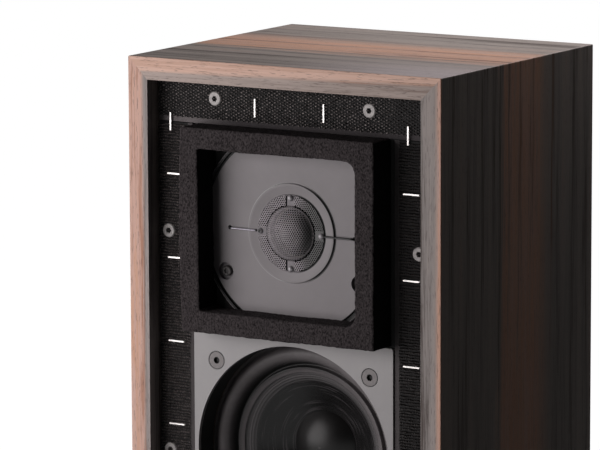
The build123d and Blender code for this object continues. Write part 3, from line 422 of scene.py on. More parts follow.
looks = [
    veneerFinish("veneerLeft", "z", (0.31, 0.12, 0.0), ("x", 1, 95.0), 8.6),
    veneerFinish("veneerRight", "z", (0.11, 0.52, 0.0), ("x", -1, 95.0), 2.7),
    veneerFinish("veneerBack", "z", (0.71, 0.22, 0.0), ("x", 1, 95.0), 2.7),
    veneerFinish("veneerTop", "x", (0.0, 0.43, 0.17), ("z", -1, 305.0), 5.6, 0.024, 0.5, 0.8),
    veneerFinish("veneerBase", "x", (0.0, 0.23, 0.57), ("z", 1, 0.0), 5.6, 0.024),
    feltFinish("feltCharcoal"),
    hookFinish("hookNylon", (138, 130, 128)),
    hookFinish("ribNylon", (116, 108, 106)),
    filmFinish("coneFilm"),
    # painted shade darkens the roll's valley, the more to the left
    plainFinish("rollRubber", (92, 88, 89), (105, 101, 102), 9.0, 0.5, bump=0.01, gloss=0.25,
                paintedShading=(wooferAxis, 0.0, [(45.0, 46.6, 22, 2.6, (34, -6))])),
    plainFinish("capGloss", (14, 13, 13), (19, 18, 18), 9.0, 0.36, bump=0.01, gloss=0.2),
    # painted shade darkens the dome's right side and the right part of the rim
    plainFinish("guardPaint", (164, 159, 162), (184, 178, 182), 2.6, 0.5, metal=0.1, bump=0.01, gloss=0.1,
                paintedShading=(tweeterAxis, 0.0, [(11.5, 15.0, 84, 4.5, (3, 13)), (15.0, 21.0, 118, 0.2, (3, 13))])),
    # painted shade darkens the right tab, and a painted shadow lines the hoop's right edge
    plainFinish("tabPaint", (118, 114, 117), (130, 126, 129), 2.2, 0.5, metal=0.1, bump=0.01, gloss=0.1,
                paintedShading=(tweeterAxis, 0.0, [(14.0, 19.8, 100, 0.3, (8, 13)), (20.0, 21.5, 24, 0.1, (1, 8))])),
    plainFinish("baffleBlack", (16, 16, 16), (24, 23, 23), 5.0, 0.7, bump=0.08, gloss=0.25),
    plainFinish("battenPine", (186, 148, 104), (205, 170, 128), 6.0, 0.7, bump=0.08),
    plainFinish("sealFoam", (40, 40, 42), (58, 58, 60), 0.9, 0.95, bump=0.3, gloss=0.1),
    plainFinish("stapleWire", (222, 219, 216), (242, 239, 236), 1.2, 0.3, metal=0.3, bump=0.01),
    plainFinish("screwZinc", (140, 137, 136), (172, 168, 166), 1.3, 0.5, metal=0.1, bump=0.02, gloss=0.3),
    # painted shade darkens each bolt's socket and the gap round each head
    plainFinish("boltZinc", (114, 110, 110), (124, 120, 120), 1.6, 0.5, metal=0.1, bump=0.02, gloss=0.3,
                paintedShading=(wooferAxis, 47.0, [(0.0, 1.75, 7, 0.1), (4.5, 5.05, 26, 0.1)])),
    plainFinish("nutZinc", (150, 147, 142), (172, 168, 160), 1.6, 0.4, metal=0.7, bump=0.02),
    plainFinish("deepZinc", (62, 60, 60), (92, 89, 88), 1.2, 0.5, metal=0.2, bump=0.02, gloss=0.3),
    plainFinish("plateGrey", (154, 152, 153), (162, 160, 160), 22.0, 0.5, bump=0.012, gloss=0.35, patch=0.8),
    # painted shade fills the groove round the plate; painted shadows lie right of the guard's rim and of the
    # boss, and a painted highlight along the boss's left edge
    plainFinish("faceGrey", (121, 117, 119), (129, 125, 127), 22.0, 0.5, bump=0.012, gloss=0.3, patch=0.8,
                paintedShading=(tweeterAxis, 0.0, [
                    (53.0, 55.7, 12, 0.1), (20.35, 21.0, 34, 0.2, (1, 9)),
                    (26.05, 27.0, 32, 0.3, (6, 17)), (26.0, 26.6, 148, 0.15, (4, -10))])),
    plainFinish("gasketCork", (70, 62, 54), (92, 82, 70), 1.2, 0.9, bump=0.15, gloss=0.15),
    plainFinish("castAlloy", (120, 122, 125), (148, 150, 152), 3.0, 0.55, metal=0.7, bump=0.06),
    brushedFinish("formerFoil", (170, 168, 166), (196, 194, 190), "y", 0.35, 0.8),
    brushedFinish("copperTurns", (176, 104, 66), (206, 138, 92), "x", 0.35, 0.8),
    plainFinish("spiderCloth", (176, 152, 98), (196, 174, 122), 0.7, 0.9, bump=0.12, gloss=0.15),
    plainFinish("ironZinc", (150, 148, 140), (176, 172, 158), 5.0, 0.4, metal=0.8, bump=0.02),
    plainFinish("ferrite", (38, 38, 40), (54, 53, 54), 2.2, 0.75, bump=0.06, gloss=0.3),
    plainFinish("tagBoard", (120, 84, 52), (142, 104, 68), 2.0, 0.6, bump=0.04),
    plainFinish("flexLead", (168, 120, 80), (196, 148, 104), 0.6, 0.4, metal=0.6, bump=0.06),
    # painted shade darkens the left rivet's hollow centre
    plainFinish("rivetTin", (136, 133, 136), (158, 155, 158), 0.9, 0.42, metal=0.25, bump=0.03,
                paintedShading=((-18.7, tweeterAxis[1]), 0.0, [(0.0, 0.75, 12, 0.25)])),
    # painted shade darkens the right lead; both leads are darker at their ends
    plainFinish("leadTin", (134, 130, 138), (168, 164, 174), 1.6, 0.42, metal=0.45, bump=0.03,
                paintedShading=(tweeterAxis, 0.0, [
                    (18.0, 40.0, 44, 0.1, (0, 5)), (18.0, 21.0, 24, 0.8), (36.4, 40.0, 14, 0.8)])),
    # black for the sheet that stands in for the shade behind the guard's rim
    plainFinish("shadeSheetBlack", (9, 9, 9), (14, 13, 14), 0.4, 0.95, bump=0.05, gloss=0.05),
    plainFinish("domeCloth", (30, 29, 30), (44, 42, 43), 0.5, 0.7, bump=0.06, gloss=0.3),
    plainFinish("boardGreen", (34, 84, 52), (46, 102, 66), 4.0, 0.45, bump=0.02),
    plainFinish("spacerNylon", (206, 204, 196), (222, 220, 212), 2.0, 0.5, bump=0.02),
    plainFinish("canFilm", (196, 158, 48), (214, 178, 70), 4.0, 0.35, bump=0.02),
    plainFinish("resistorClay", (196, 190, 176), (212, 206, 194), 1.5, 0.85, bump=0.08),
    plainFinish("padBitumen", (34, 32, 30), (48, 45, 42), 3.0, 0.85, bump=0.2, gloss=0.2),
    plainFinish("foamGrey", (66, 66, 68), (92, 92, 94), 1.3, 0.95, bump=0.5, gloss=0.1),
    plainFinish("wireSleeve", (120, 26, 24), (140, 36, 32), 3.0, 0.5, bump=0.02),
    brushedFinish("postNickel", (196, 190, 178), (216, 211, 200), "y", 0.28, 0.9),
    plainFinish("collarBlack", (28, 28, 29), (38, 38, 39), 2.0, 0.5, bump=0.03),
    plainFinish("capRed", (150, 22, 22), (172, 34, 30), 3.0, 0.38, bump=0.02),
    plainFinish("capBlack", (24, 24, 25), (34, 34, 35), 3.0, 0.38, bump=0.02),
]
# a name that the CAD has taken already comes with a number
finishes = {look.name.split(".")[0]: look for look in looks}
print("finishes", len(bpy.data.materials))

# Which CAD node wears which finish
wear = {
    "veneerLeft": ["left_panel"],
    "veneerRight": ["right_panel"],
    "veneerBack": ["back_panel"],
    "veneerTop": ["top_panel"],
    "veneerBase": ["base_panel"],
    "capGloss": ["woofer_dust_cap"],
    "baffleBlack": ["front_baffle"],
    "battenPine": ["front_battens", "rear_battens"],
    "sealFoam": ["baffle_seal"],
    "stapleWire": ["tape_staples"],
    "screwZinc": ["baffle_screws", "crossover_screws"],
    "boltZinc": ["woofer_bolts"],
    "nutZinc": ["woofer_nuts"],
    "deepZinc": ["tweeter_screws"],
    "plateGrey": ["woofer_plate"],
    "faceGrey": ["tweeter_plate"],
    "gasketCork": ["woofer_gasket"],
    "castAlloy": ["woofer_chassis"],
    "formerFoil": ["woofer_former"],
    "copperTurns": ["woofer_coil", "tweeter_coil", "crossover_inductors"],
    "ironZinc": ["woofer_pole_plate", "woofer_pole", "tweeter_pole_plate", "tweeter_pole"],
    "ferrite": ["woofer_magnet", "tweeter_magnet"],
    "tagBoard": ["woofer_tags"],
    "rivetTin": ["tweeter_rivets"],
    "leadTin": ["tweeter_leads"],
    "domeCloth": ["tweeter_dome"],
    "boardGreen": ["crossover_board"],
    "spacerNylon": ["crossover_spacers"],
    "canFilm": ["crossover_capacitors"],
    "resistorClay": ["crossover_resistors"],
    "padBitumen": ["damping_pads"],
    "foamGrey": ["foam_lining"],
    "wireSleeve": ["internal_wires"],
    "postNickel": ["terminal_posts", "terminal_nuts", "terminal_tags", "positive_washer", "negative_washer"],
    "collarBlack": ["terminal_collars"],
    "capRed": ["positive_cap"],
    "capBlack": ["negative_cap"],
}
for look, names in wear.items():
    for name in names:
        slots = nodes[name].data.materials
        slots.clear()
        slots.append(finishes[look])
print("CAD nodes dressed", sum(len(names) for names in wear.values()))


# Making and placing pieces

def pieceFrom(shape, name, material, smooth=True):
    mesh = bpy.data.meshes.new(name)
    shape.to_mesh(mesh)
    shape.free()
    for face in mesh.polygons:
        face.use_smooth = smooth
    piece = bpy.data.objects.new(name, mesh)
    mesh.materials.append(material)
    bpy.context.scene.collection.objects.link(piece)
    return piece


def settled(piece):
    # the piece with its modifiers worked into its mesh
    scene = bpy.context.evaluated_depsgraph_get()
    mesh = bpy.data.meshes.new_from_object(piece.evaluated_get(scene))
    piece.modifiers.clear()
    piece.data = mesh
    return piece


def thicken(piece, wall, even=False):
    sheet = piece.modifiers.new("wall", "SOLIDIFY")
    sheet.thickness = wall * mm
    sheet.offset = -1.0
    sheet.use_even_offset = even


def whole(shape):
    return list(shape.verts) + list(shape.edges) + list(shape.faces)


def vertsOf(geom):
    return [g for g in geom if isinstance(g, bmesh.types.BMVert)]


def copyTo(shape, geom, shift):
    made = bmesh.ops.duplicate(shape, geom=geom)["geom"]
    bmesh.ops.translate(shape, verts=vertsOf(made), vec=shift)


def faceForward(shape):
    bmesh.ops.recalc_face_normals(shape, faces=shape.faces)
    bmesh.ops.reverse_faces(shape, faces=[face for face in shape.faces if face.normal.y > 0])


def box(shape, first, second):
    # a box between two corners, each x, depth and z
    size = Vector([b - a for a, b in zip(first, second)]) * mm
    middle = (spot(*first) + spot(*second)) / 2
    bmesh.ops.create_cube(shape, size=1.0, matrix=Matrix.Translation(middle) @ Matrix.Diagonal(size).to_4x4())


shell = {"weld": 0.01, "steps": 96}


def turnedShell(name, profile, axis, material, wall, steps=shell["steps"]):
    # profile points are radius and depth, turned round an axis that runs along y
    shape = bmesh.new()
    points = [shape.verts.new(spot(axis[0] + radius, depth, axis[1])) for radius, depth in profile]
    line = [shape.edges.new(pair) for pair in zip(points, points[1:])]
    bmesh.ops.spin(shape, geom=points + line, cent=spot(axis[0], 0, axis[1]), axis=(0, 1, 0),
                   angle=2 * math.pi, steps=steps, use_merge=True, use_duplicate=False)
    bmesh.ops.remove_doubles(shape, verts=shape.verts, dist=shell["weld"] * mm)
    bmesh.ops.recalc_face_normals(shape, faces=shape.faces)
    if sum(face.normal.y for face in shape.faces) > 0:
        bmesh.ops.reverse_faces(shape, faces=shape.faces)
    piece = pieceFrom(shape, name, material)
    rounded = piece.modifiers.new("smooth", "SUBSURF")
    rounded.levels = 1
    rounded.render_levels = 1
    thicken(piece, wall, even=True)
    return settled(piece)


def spread(piece, axis, still, moving):
    # works out by its radius how far each ring of a suspension would go with the moving body, but keeps
    # nothing of it
    near, far = sorted((still, moving))
    for vertex in piece.data.vertices:
        radius = math.hypot(vertex.co.x / mm - axis[0], vertex.co.z / mm - axis[1])
        share = clamp((radius - near) / (far - near))
        share = share * share * (3 - 2 * share)
        share if moving > still else 1 - share


# Hook tape: a woven strip with rows of small bent hooks

tape = {
    "rowPitch": 1.57,
    "upright": {"pitch": 0.9, "stagger": 0.1, "inset": 0.4, "look": "ribNylon"},
    "level": {"pitch": 1.68, "stagger": 0.5, "inset": 0.6, "look": "hookNylon"},
    "hookHeight": 0.9,
    "hookThick": 0.4,
    "bends": ((0.55, 0.05, 0.95), (0.35, 0.2, 0.85), (0.05, 0.35, 0.75)),  # rise, lean and narrowing
    "root": 0.5,
    "end": 0.8,
    "tangle": ((0.3, 700), (0.5, 380)),
    "selvage": 2.9,
    "ground": 1.45,
    "bevel": 0.5,
    "bay": 2.5,
    "ripple": ((0.12, 160), (0.18, 90)),
}
tapes = {  # left, right, low, high, and which way the selvage lies
    "tape_top": (-82.7, 82.7, 270.3, 291.5, -1),
    "tape_bottom": (-82.7, 82.7, 12.3, 33.5, 1),
    "tape_left": (-82.7, -61.5, 33.8, 270.0, 1),
    "tape_right": (61.5, 82.7, 33.8, 270.0, -1),
}


def hookRows(width, length, pitch, stagger):
    # rows of hooks that stand towards -y from below the x-z plane, the first at the origin
    shape = bmesh.new()
    foot = bmesh.ops.create_circle(shape, segments=3, radius=tape["hookThick"] * mm, cap_ends=True)["verts"]
    bmesh.ops.rotate(shape, verts=foot, matrix=Matrix.Rotation(math.pi / 2, 3, "X"))
    bmesh.ops.translate(shape, verts=foot, vec=(0, tape["root"] * mm, 0))
    faces = list(shape.faces)
    for k, (rise, lean, narrow) in enumerate(tape["bends"]):
        grown = bmesh.ops.extrude_face_region(shape, geom=faces, use_keep_orig=True)["geom"]
        if k:
            bmesh.ops.delete(shape, geom=faces, context="FACES_ONLY")
        else:
            rise += tape["root"] / tape["hookHeight"]
        top = vertsOf(grown)
        faces = [g for g in grown if isinstance(g, bmesh.types.BMFace)]
        bmesh.ops.translate(shape, verts=top, vec=Vector((0, -rise, -lean)) * tape["hookHeight"] * mm)
        centre = sum((v.co for v in top), Vector()) / len(top)
        bmesh.ops.scale(shape, verts=top, vec=(narrow,) * 3, space=Matrix.Translation(-centre))
    bmesh.ops.recalc_face_normals(shape, faces=shape.faces)
    one = whole(shape)
    for k in range(1, int(width / pitch) + 1):
        copyTo(shape, one, (k * pitch * mm, 0, 0))
    row = whole(shape)
    for k in range(1, int(length / tape["rowPitch"]) + 1):
        copyTo(shape, row, (stagger * pitch * (k % 2) * mm, 0, k * tape["rowPitch"] * mm))
    return shape


def makeTape(node):
    left, right, low, high, side = tapes[node]
    upright = high - low > right - left
    width, length = sorted((right - left, high - low))
    name = "hookTape" + node.split("_")[1].capitalize()
    front = baffleFace - tape["ground"]
    middle = spot(0, baffleFace - tape["ground"] / 2, 0).y
    strip = bmesh.new()
    box(strip, (left, front, low), (right, baffleFace, high))
    long = [e for e in strip.edges if e.calc_length() > 0.9 * length * mm]
    fronts = [e for e in long if max(v.co.y for v in e.verts) < middle]
    bmesh.ops.bevel(strip, geom=fronts, offset=tape["bevel"] * mm, segments=3, profile=0.5,
                    affect="EDGES", material=-1)
    ends = [e for e in strip.edges if e.calc_length() > 0.9 * length * mm]
    bmesh.ops.subdivide_edges(strip, edges=ends, cuts=int(length / tape["bay"]), use_grid_fill=True)
    (swell, swellScale), (weave, weaveScale) = tape["ripple"]
    across = 0 if upright else 2
    for vertex in strip.verts:
        if vertex.co.y < middle:
            vertex.co.y += swell * mm * noise.noise(vertex.co * swellScale)
            vertex.co[across] += weave * mm * noise.noise(vertex.co * weaveScale + Vector((3, 1, 7)))
    if upright:
        edge = right if side > 0 else left
    else:
        edge = high if side > 0 else low
    ground = pieceFrom(strip, name, tapeFinish(name, "z" if upright else "x", edge, side), smooth=False)
    kind = tape["upright" if upright else "level"]
    hooks = hookRows(width - tape["selvage"], length - 2 * tape["end"], kind["pitch"], kind["stagger"])
    if upright:
        first = left if side > 0 else left + tape["selvage"]
        corner = spot(first + kind["inset"], front, low + tape["end"])
    else:
        first = high if side < 0 else high - tape["selvage"]
        corner = spot(left + tape["end"], front, first - kind["inset"])
        bmesh.ops.rotate(hooks, verts=hooks.verts, matrix=Matrix.Rotation(math.pi / 2, 3, "Y"))
    bmesh.ops.translate(hooks, verts=hooks.verts, vec=corner)
    for vertex in hooks.verts:
        moves = [size * mm * noise.noise_vector(vertex.co * scale) for size, scale in tape["tangle"]]
        vertex.co += sum(moves, Vector())
    pile = pieceFrom(hooks, name + "Hooks", finishes[kind["look"]])
    for piece in (ground, pile):
        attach(piece, "root")
        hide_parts(node)


for node in tapes:
    makeTape(node)
print("hook tapes done")

# Felt frame round the tweeter

feltFrame = {
    "x": 59.0,
    "low": 161.5,
    "high": 269.5,
    "front": -5.0,
    "windowX": 47.5,
    "windowLow": 173.0,
    "windowHigh": 258.0,
    "corner": (1.2, 6.0),
    "inset": 8.0,
    "voxel": 0.75,
    "flatBack": 1.0,
    "sway": (0.3, 45),
    "fuzz": (0.2, 620, 300),
    "shift": (0.4, 0.9),  # to the left, of the left and the right side
    "turn": 95.0,  # width over which one becomes the other
    "lean": (1.2, 0.3),  # more of it at the top, at the window and at the left edge
    "bow": 1.3,
    "raised": (1.2, 0.6),  # of the window's head and of the top
    "raisedFrom": 0.6,
    "raisedOver": 0.3,
    "top": 0.93,
}


def feltShift(x, rise):
    # how far the frame hangs to the left at a place, in millimetres
    f = feltFrame
    out = clamp((-x - f["windowX"]) / (f["x"] - f["windowX"]))
    bow = f["lean"][1] * rise + f["bow"] * math.sin(math.pi * clamp(rise))
    bowed = f["shift"][0] + f["lean"][0] * rise * (1 - out) + out * bow
    leftward = clamp(0.5 - x / f["turn"])
    return leftward * bowed + (1 - leftward) * f["shift"][1]


def makeFelt():
    f = feltFrame
    shape = bmesh.new()
    box(shape, (-f["x"], f["front"], f["low"]), (f["x"], baffleFace, f["high"]))
    caps = [face for face in shape.faces if abs(face.normal.y) > 0.9]
    for face in caps:
        bmesh.ops.inset_region(shape, faces=[face], thickness=f["inset"] * mm)
    middle = (f["low"] + f["high"]) / 2 * mm
    for face in caps:
        for vertex in face.verts:
            vertex.co.x = math.copysign(f["windowX"], vertex.co.x) * mm
            vertex.co.z = (f["windowHigh"] if vertex.co.z > middle else f["windowLow"]) * mm
    rims = [edge for face in caps for edge in face.edges]
    bmesh.ops.delete(shape, geom=caps, context="FACES_ONLY")
    bmesh.ops.bridge_loops(shape, edges=rims)
    inner = []
    for edge in shape.edges:
        start, end = [v.co for v in edge.verts]
        straight = abs(start.x - end.x) < 1e-6 and abs(start.z - end.z) < 1e-6
        if straight and abs(abs(start.x) - f["windowX"] * mm) < 1e-5:
            inner.append(edge)
    for corner, side in zip(f["corner"], (-1, 1)):
        turned = [e for e in inner if e.is_valid and e.verts[0].co.x * side > 0]
        bmesh.ops.bevel(shape, geom=turned, offset=corner * mm, segments=5, profile=0.5,
                        affect="EDGES", material=-1)
    bmesh.ops.recalc_face_normals(shape, faces=shape.faces)
    piece = pieceFrom(shape, "feltFrame", finishes["feltCharcoal"])
    remesh = piece.modifiers.new("even", "REMESH")
    remesh.mode = "VOXEL"
    remesh.voxel_size = f["voxel"] * mm
    settled(piece)
    shape = bmesh.new()
    shape.from_mesh(piece.data)
    back = spot(0, baffleFace - f["flatBack"], 0).y
    sway, swayScale = f["sway"]
    fuzz, fineScale, coarseScale = f["fuzz"]
    for vertex in shape.verts:
        if vertex.co.y > back:
            continue
        lean = noise.noise_vector(vertex.co * swayScale) * sway
        tuft = noise.noise(vertex.co * fineScale) * fuzz
        tuft += noise.noise(vertex.co * coarseScale + Vector((5, 2, 9))) * fuzz
        vertex.co += lean * mm + vertex.normal * tuft * mm
        rise = (vertex.co.z / mm - f["low"]) / (f["high"] - f["low"])
        vertex.co.x -= feltShift(vertex.co.x / mm, rise) * mm
        raised = f["raised"][0 if rise < f["top"] else 1]
        vertex.co.z += raised * mm * clamp((rise - f["raisedFrom"]) / f["raisedOver"])
    shape.to_mesh(piece.data)
    shape.free()
    for face in piece.data.polygons:
        face.use_smooth = True
    piece.data.materials.clear()
    piece.data.materials.append(finishes["feltCharcoal"])
    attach(piece, "root")
    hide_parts("tweeter_felt")


makeFelt()
print("felt done")

# Tweeter guard: a perforated dome and rim with four plain tabs

guard = {
    "pitch": 1.15,
    "hole": 0.45,
    "domePitch": 1.22,
    "domeHole": 0.48,
    "dome": 14.4,
    "height": 6.9,
    "bulge": 0.75,
    "rim": 20.3,
    "ledge": 0.5,
    "face": 8.8,
    "sheet": 0.16,
    "tabShift": 0.1,
    "tabHalf": 2.2,
    "slit": 1.0,
    "hoopOut": 0.1,
    "hoopWide": 0.35,
    # a black sheet behind the rim that stands in for the shade in its holes: its depth, thickness and reach
    "shadeBacking": 9.2,
    "shadeSheet": 0.05,
    "shadeSheetOut": 0.3,
    "shadeSheetIn": 0.6,
    "weld": 0.02,
    "steps": 96,
}


def hexField(reach, pitch, hole):
    # a honeycomb of rings with their middles still in, on the x-z plane
    shape = bmesh.new()
    side = pitch / math.sqrt(3) * mm
    bmesh.ops.create_circle(shape, segments=6, radius=side, cap_ends=True)
    bmesh.ops.rotate(shape, verts=shape.verts, matrix=Matrix.Rotation(math.pi / 2, 3, "X"))
    middle = list(shape.faces)
    bmesh.ops.inset_region(shape, faces=middle, use_boundary=True, use_even_offset=True,
                           thickness=(pitch / 2 - hole) * mm)
    middle[0].material_index = 1
    count = int(reach / pitch) + 1
    cell = whole(shape)
    bmesh.ops.translate(shape, verts=shape.verts, vec=(-count * pitch * mm, 0, 0))
    for k in range(1, 2 * count + 1):
        copyTo(shape, cell, (k * pitch * mm, 0, 0))
    row = whole(shape)
    rise = pitch * math.sqrt(3) / 2
    rows = int(reach / rise) + 1
    for k in range(-rows, rows + 1):
        if k:
            copyTo(shape, row, (0.5 * pitch * mm * (k % 2), 0, k * rise * mm))
    bmesh.ops.remove_doubles(shape, verts=shape.verts, dist=guard["weld"] * mm)
    return shape


def onTab(face):
    # the four plain tabs, and the slit beside the upper and lower ones
    centre = face.calc_center_median() / mm
    upright = abs(centre.z) > abs(centre.x)
    aside = centre.x - guard["tabShift"] if upright else centre.z
    if abs(aside) < guard["tabHalf"]:
        return "tab"
    if upright and -guard["slit"] < aside + guard["tabHalf"] < 0:
        return "slit"
    return None


def flatRing(radius, share, depth):
    # a flat ring round the tweeter's axis, its hole a share of its radius
    shape = bmesh.new()
    bmesh.ops.create_circle(shape, segments=guard["steps"], radius=radius * mm)
    bmesh.ops.rotate(shape, verts=shape.verts, matrix=Matrix.Rotation(math.pi / 2, 3, "X"))
    grown = bmesh.ops.extrude_edge_only(shape, edges=list(shape.edges))["geom"]
    bmesh.ops.scale(shape, verts=vertsOf(grown), vec=(share,) * 3)
    bmesh.ops.translate(shape, verts=shape.verts, vec=spot(tweeterAxis[0], depth, tweeterAxis[1]))
    return shape


def guardDome():
    g = guard
    dome = hexField(g["dome"], g["domePitch"], g["domeHole"])
    doomed = [f for f in dome.faces
              if f.material_index == 1 or f.calc_center_median().length > g["dome"] * mm]
    bmesh.ops.delete(dome, geom=doomed, context="FACES")
    for vertex in dome.verts:
        radius = min(vertex.co.length / mm, g["dome"])
        turn = math.atan2(vertex.co.z, vertex.co.x)
        depth = g["face"] - g["height"] * (1 - (radius / g["dome"]) ** 2) ** g["bulge"]
        x = tweeterAxis[0] + radius * math.cos(turn)
        z = tweeterAxis[1] + radius * math.sin(turn)
        vertex.co = spot(x, depth, z)
    return dome


def guardRim():
    g = guard
    rim = hexField(g["rim"], g["pitch"], g["hole"])
    left = g["tabShift"] - g["tabHalf"]
    cuts = [((x * mm, 0, 0), (1, 0, 0)) for x in (left - g["slit"], left, g["tabShift"] + g["tabHalf"])]
    cuts += [((0, 0, z * mm), (0, 0, 1)) for z in (-g["tabHalf"], g["tabHalf"])]
    for place, facing in cuts:
        bmesh.ops.bisect_plane(rim, geom=whole(rim), dist=1e-7, plane_co=place, plane_no=facing)
    doomed = []
    for face in rim.faces:
        centre = face.calc_center_median() / mm
        kind = onTab(face)
        inside = math.hypot(centre.x, centre.z) < g["dome"] + g["ledge"]
        outside = max(v.co.length for v in face.verts) > g["rim"] * mm
        if inside or outside or kind == "slit" or (face.material_index == 1 and kind != "tab"):
            doomed.append(face)
    bmesh.ops.delete(rim, geom=doomed, context="FACES")
    for face in rim.faces:
        face.material_index = 1 if onTab(face) else 0
    bmesh.ops.translate(rim, verts=rim.verts, vec=spot(tweeterAxis[0], g["face"], tweeterAxis[1]))
    return rim


def makeGuard():
    g = guard
    dome = guardDome()
    rim = guardRim()
    hoop = flatRing(g["rim"] + g["hoopOut"], 1 - g["hoopWide"] / g["rim"], g["face"])
    for face in hoop.faces:
        face.material_index = 1
    for other in (rim, hoop):
        loose = bpy.data.meshes.new("guardPart")
        other.to_mesh(loose)
        other.free()
        dome.from_mesh(loose)
        bpy.data.meshes.remove(loose)
    faceForward(dome)
    piece = pieceFrom(dome, "tweeterGuard", finishes["guardPaint"], smooth=False)
    piece.data.materials.append(finishes["tabPaint"])
    thicken(piece, g["sheet"])
    settled(piece)
    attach(piece, "root")
    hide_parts("tweeter_guard")
    # a black sheet behind the rim stands in for the shade that its holes show
    outer = g["rim"] + g["shadeSheetOut"]
    shadeBacking = flatRing(outer, (g["dome"] - g["shadeSheetIn"]) / outer, g["shadeBacking"])
    faceForward(shadeBacking)
    shadeSheet = pieceFrom(shadeBacking, "guardShadeSheet", finishes["shadeSheetBlack"], smooth=False)
    thicken(shadeSheet, g["shadeSheet"])
    settled(shadeSheet)
    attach(shadeSheet, "root")
    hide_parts("tweeter_guard")


makeGuard()
print("guard done")

# Woofer suspension and cone

cone = {
    "edge": 43.9,
    "edgeDepth": 28.73,
    "slope": 0.58,
    "neck": 12.95,
    "wall": 0.7,
    "ridge": 0.35,
    "ridgeHalf": 0.3,
    "rings": (40.7, 39.5, 38.2, 36.8),
    "plain": (20.0, 25.0, 34.0),
}
stations = [cone["edge"], cone["neck"], *cone["plain"]]
for ring in cone["rings"]:
    stations += [ring - cone["ridgeHalf"], ring, ring + cone["ridgeHalf"]]
coneProfile = []
for radius in sorted(stations, reverse=True):
    lift = cone["ridge"] if radius in cone["rings"] else 0.0
    coneProfile.append((radius, cone["edgeDepth"] + (cone["edge"] - radius) * cone["slope"] - lift))
conePiece = turnedShell("wooferCone", coneProfile, wooferAxis, finishes["coneFilm"], cone["wall"])
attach(conePiece, "woofer_motion")
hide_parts("woofer_cone")

roll = {
    "wall": 0.8,
    "profile": [
        (60.0, 25.0), (57.8, 25.0), (56.9, 24.9), (56.3, 24.3), (55.5, 23.2), (54.2, 22.3), (52.4, 22.0),
        (50.7, 22.5), (49.3, 23.7), (48.2, 25.5), (47.4, 27.5), (46.8, 29.1), (46.2, 29.9), (45.5, 29.9),
        (45.1, 29.1), (44.85, 27.7), (44.6, 27.3), (44.0, 27.5), (43.2, 28.0), (42.2, 28.65), (41.6, 29.05),
    ],
}
rollPiece = turnedShell("wooferRoll", roll["profile"], wooferAxis, finishes["rollRubber"], roll["wall"])
spot(56.5, 25, 97.5)
spot(46.2, 25, 97.5)
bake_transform(rollPiece)
spread(rollPiece, wooferAxis, 56.5, 46.2)
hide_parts("woofer_surround")

spider = {
    "outer": 38.9,
    "start": 34.0,
    "inner": 12.95,
    "wave": 2.0,
    "count": 10,
    "height": 0.45,
    "depth": 51.4,
    "wall": 0.5,
    "steps": 72,
}
spiderProfile = [(spider["outer"], spider["depth"])]
for k in range(2 * spider["count"] + 1):
    radius = spider["start"] - k * spider["wave"] / 2
    lift = 0.0 if k % 2 == 0 else spider["height"] * (1 if k % 4 == 1 else -1)
    spiderProfile.append((radius, spider["depth"] - lift))
spiderProfile.append((spider["inner"], spider["depth"]))
spiderPiece = turnedShell("wooferSpider", spiderProfile, wooferAxis, finishes["spiderCloth"],
                          spider["wall"], spider["steps"])
spot(34, 51, 97.5)
spot(13.5, 51, 97.5)
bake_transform(spiderPiece)
spread(spiderPiece, wooferAxis, 34.0, 13.5)
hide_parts("woofer_spider")

lead = {
    "x": 6.0,
    "radius": 0.5,
    "route": [(61.7, 45.1), (52.0, 45.2), (43.1, 45.2), (37.1, 32.35)],  # depth, height
}


def makeLead(name, x):
    # a braided lead from the tag strip to the back of the cone
    curve = bpy.data.curves.new(name, "CURVE")
    curve.dimensions = "3D"
    curve.bevel_depth = lead["radius"] * mm
    curve.bevel_resolution = 3
    curve.use_fill_caps = True
    spline = curve.splines.new("NURBS")
    spline.points.add(len(lead["route"]) - 1)
    for point, (depth, rise) in zip(spline.points, lead["route"]):
        point.co = (*spot(x, depth, wooferAxis[1] + rise), 1.0)
    spline.order_u = 3
    spline.use_endpoint_u = True
    spline.resolution_u = 10
    route = bpy.data.objects.new(name + "Route", curve)
    bpy.context.scene.collection.objects.link(route)
    mesh = bpy.data.meshes.new_from_object(route.evaluated_get(bpy.context.evaluated_depsgraph_get()))
    bpy.data.objects.remove(route)
    mesh.materials.clear()
    mesh.materials.append(finishes["flexLead"])
    piece = bpy.data.objects.new(name, mesh)
    bpy.context.scene.collection.objects.link(piece)
    spot(x, 46, wooferAxis[1] + 45)
    spot(x, 37.5, wooferAxis[1] + 33)
    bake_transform(piece)
    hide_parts("woofer_leads")


makeLead("wooferLeadLeft", -lead["x"])
makeLead("wooferLeadRight", lead["x"])
print("woofer done")

# Tweeter's cloth roll behind the guard

domeRoll = {
    "wall": 0.3,
    "steps": 72,
    "profile": [(12.5, 13.5), (11.8, 13.5), (11.2, 12.9), (10.75, 12.5), (10.2, 12.6), (9.75, 13.0)],
}
domeRollPiece = turnedShell("tweeterRoll", domeRoll["profile"], tweeterAxis, finishes["domeCloth"],
                            domeRoll["wall"], domeRoll["steps"])
spot(11.7, 13, 216.5)
spot(9.8, 13, 216.5)
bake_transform(domeRollPiece)
spread(domeRollPiece, tweeterAxis, 11.7, 9.8)
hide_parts("tweeter_surround")
print("tweeter done")

# Floor, lights and camera

studio = {"floor": 6.0, "drop": 0.5, "matt": 0.12, "shadow": 0.25, "shadowReach": 0.12, "shadowFall": 0.7,
          "air": 0.006, "mirror": 0.05}

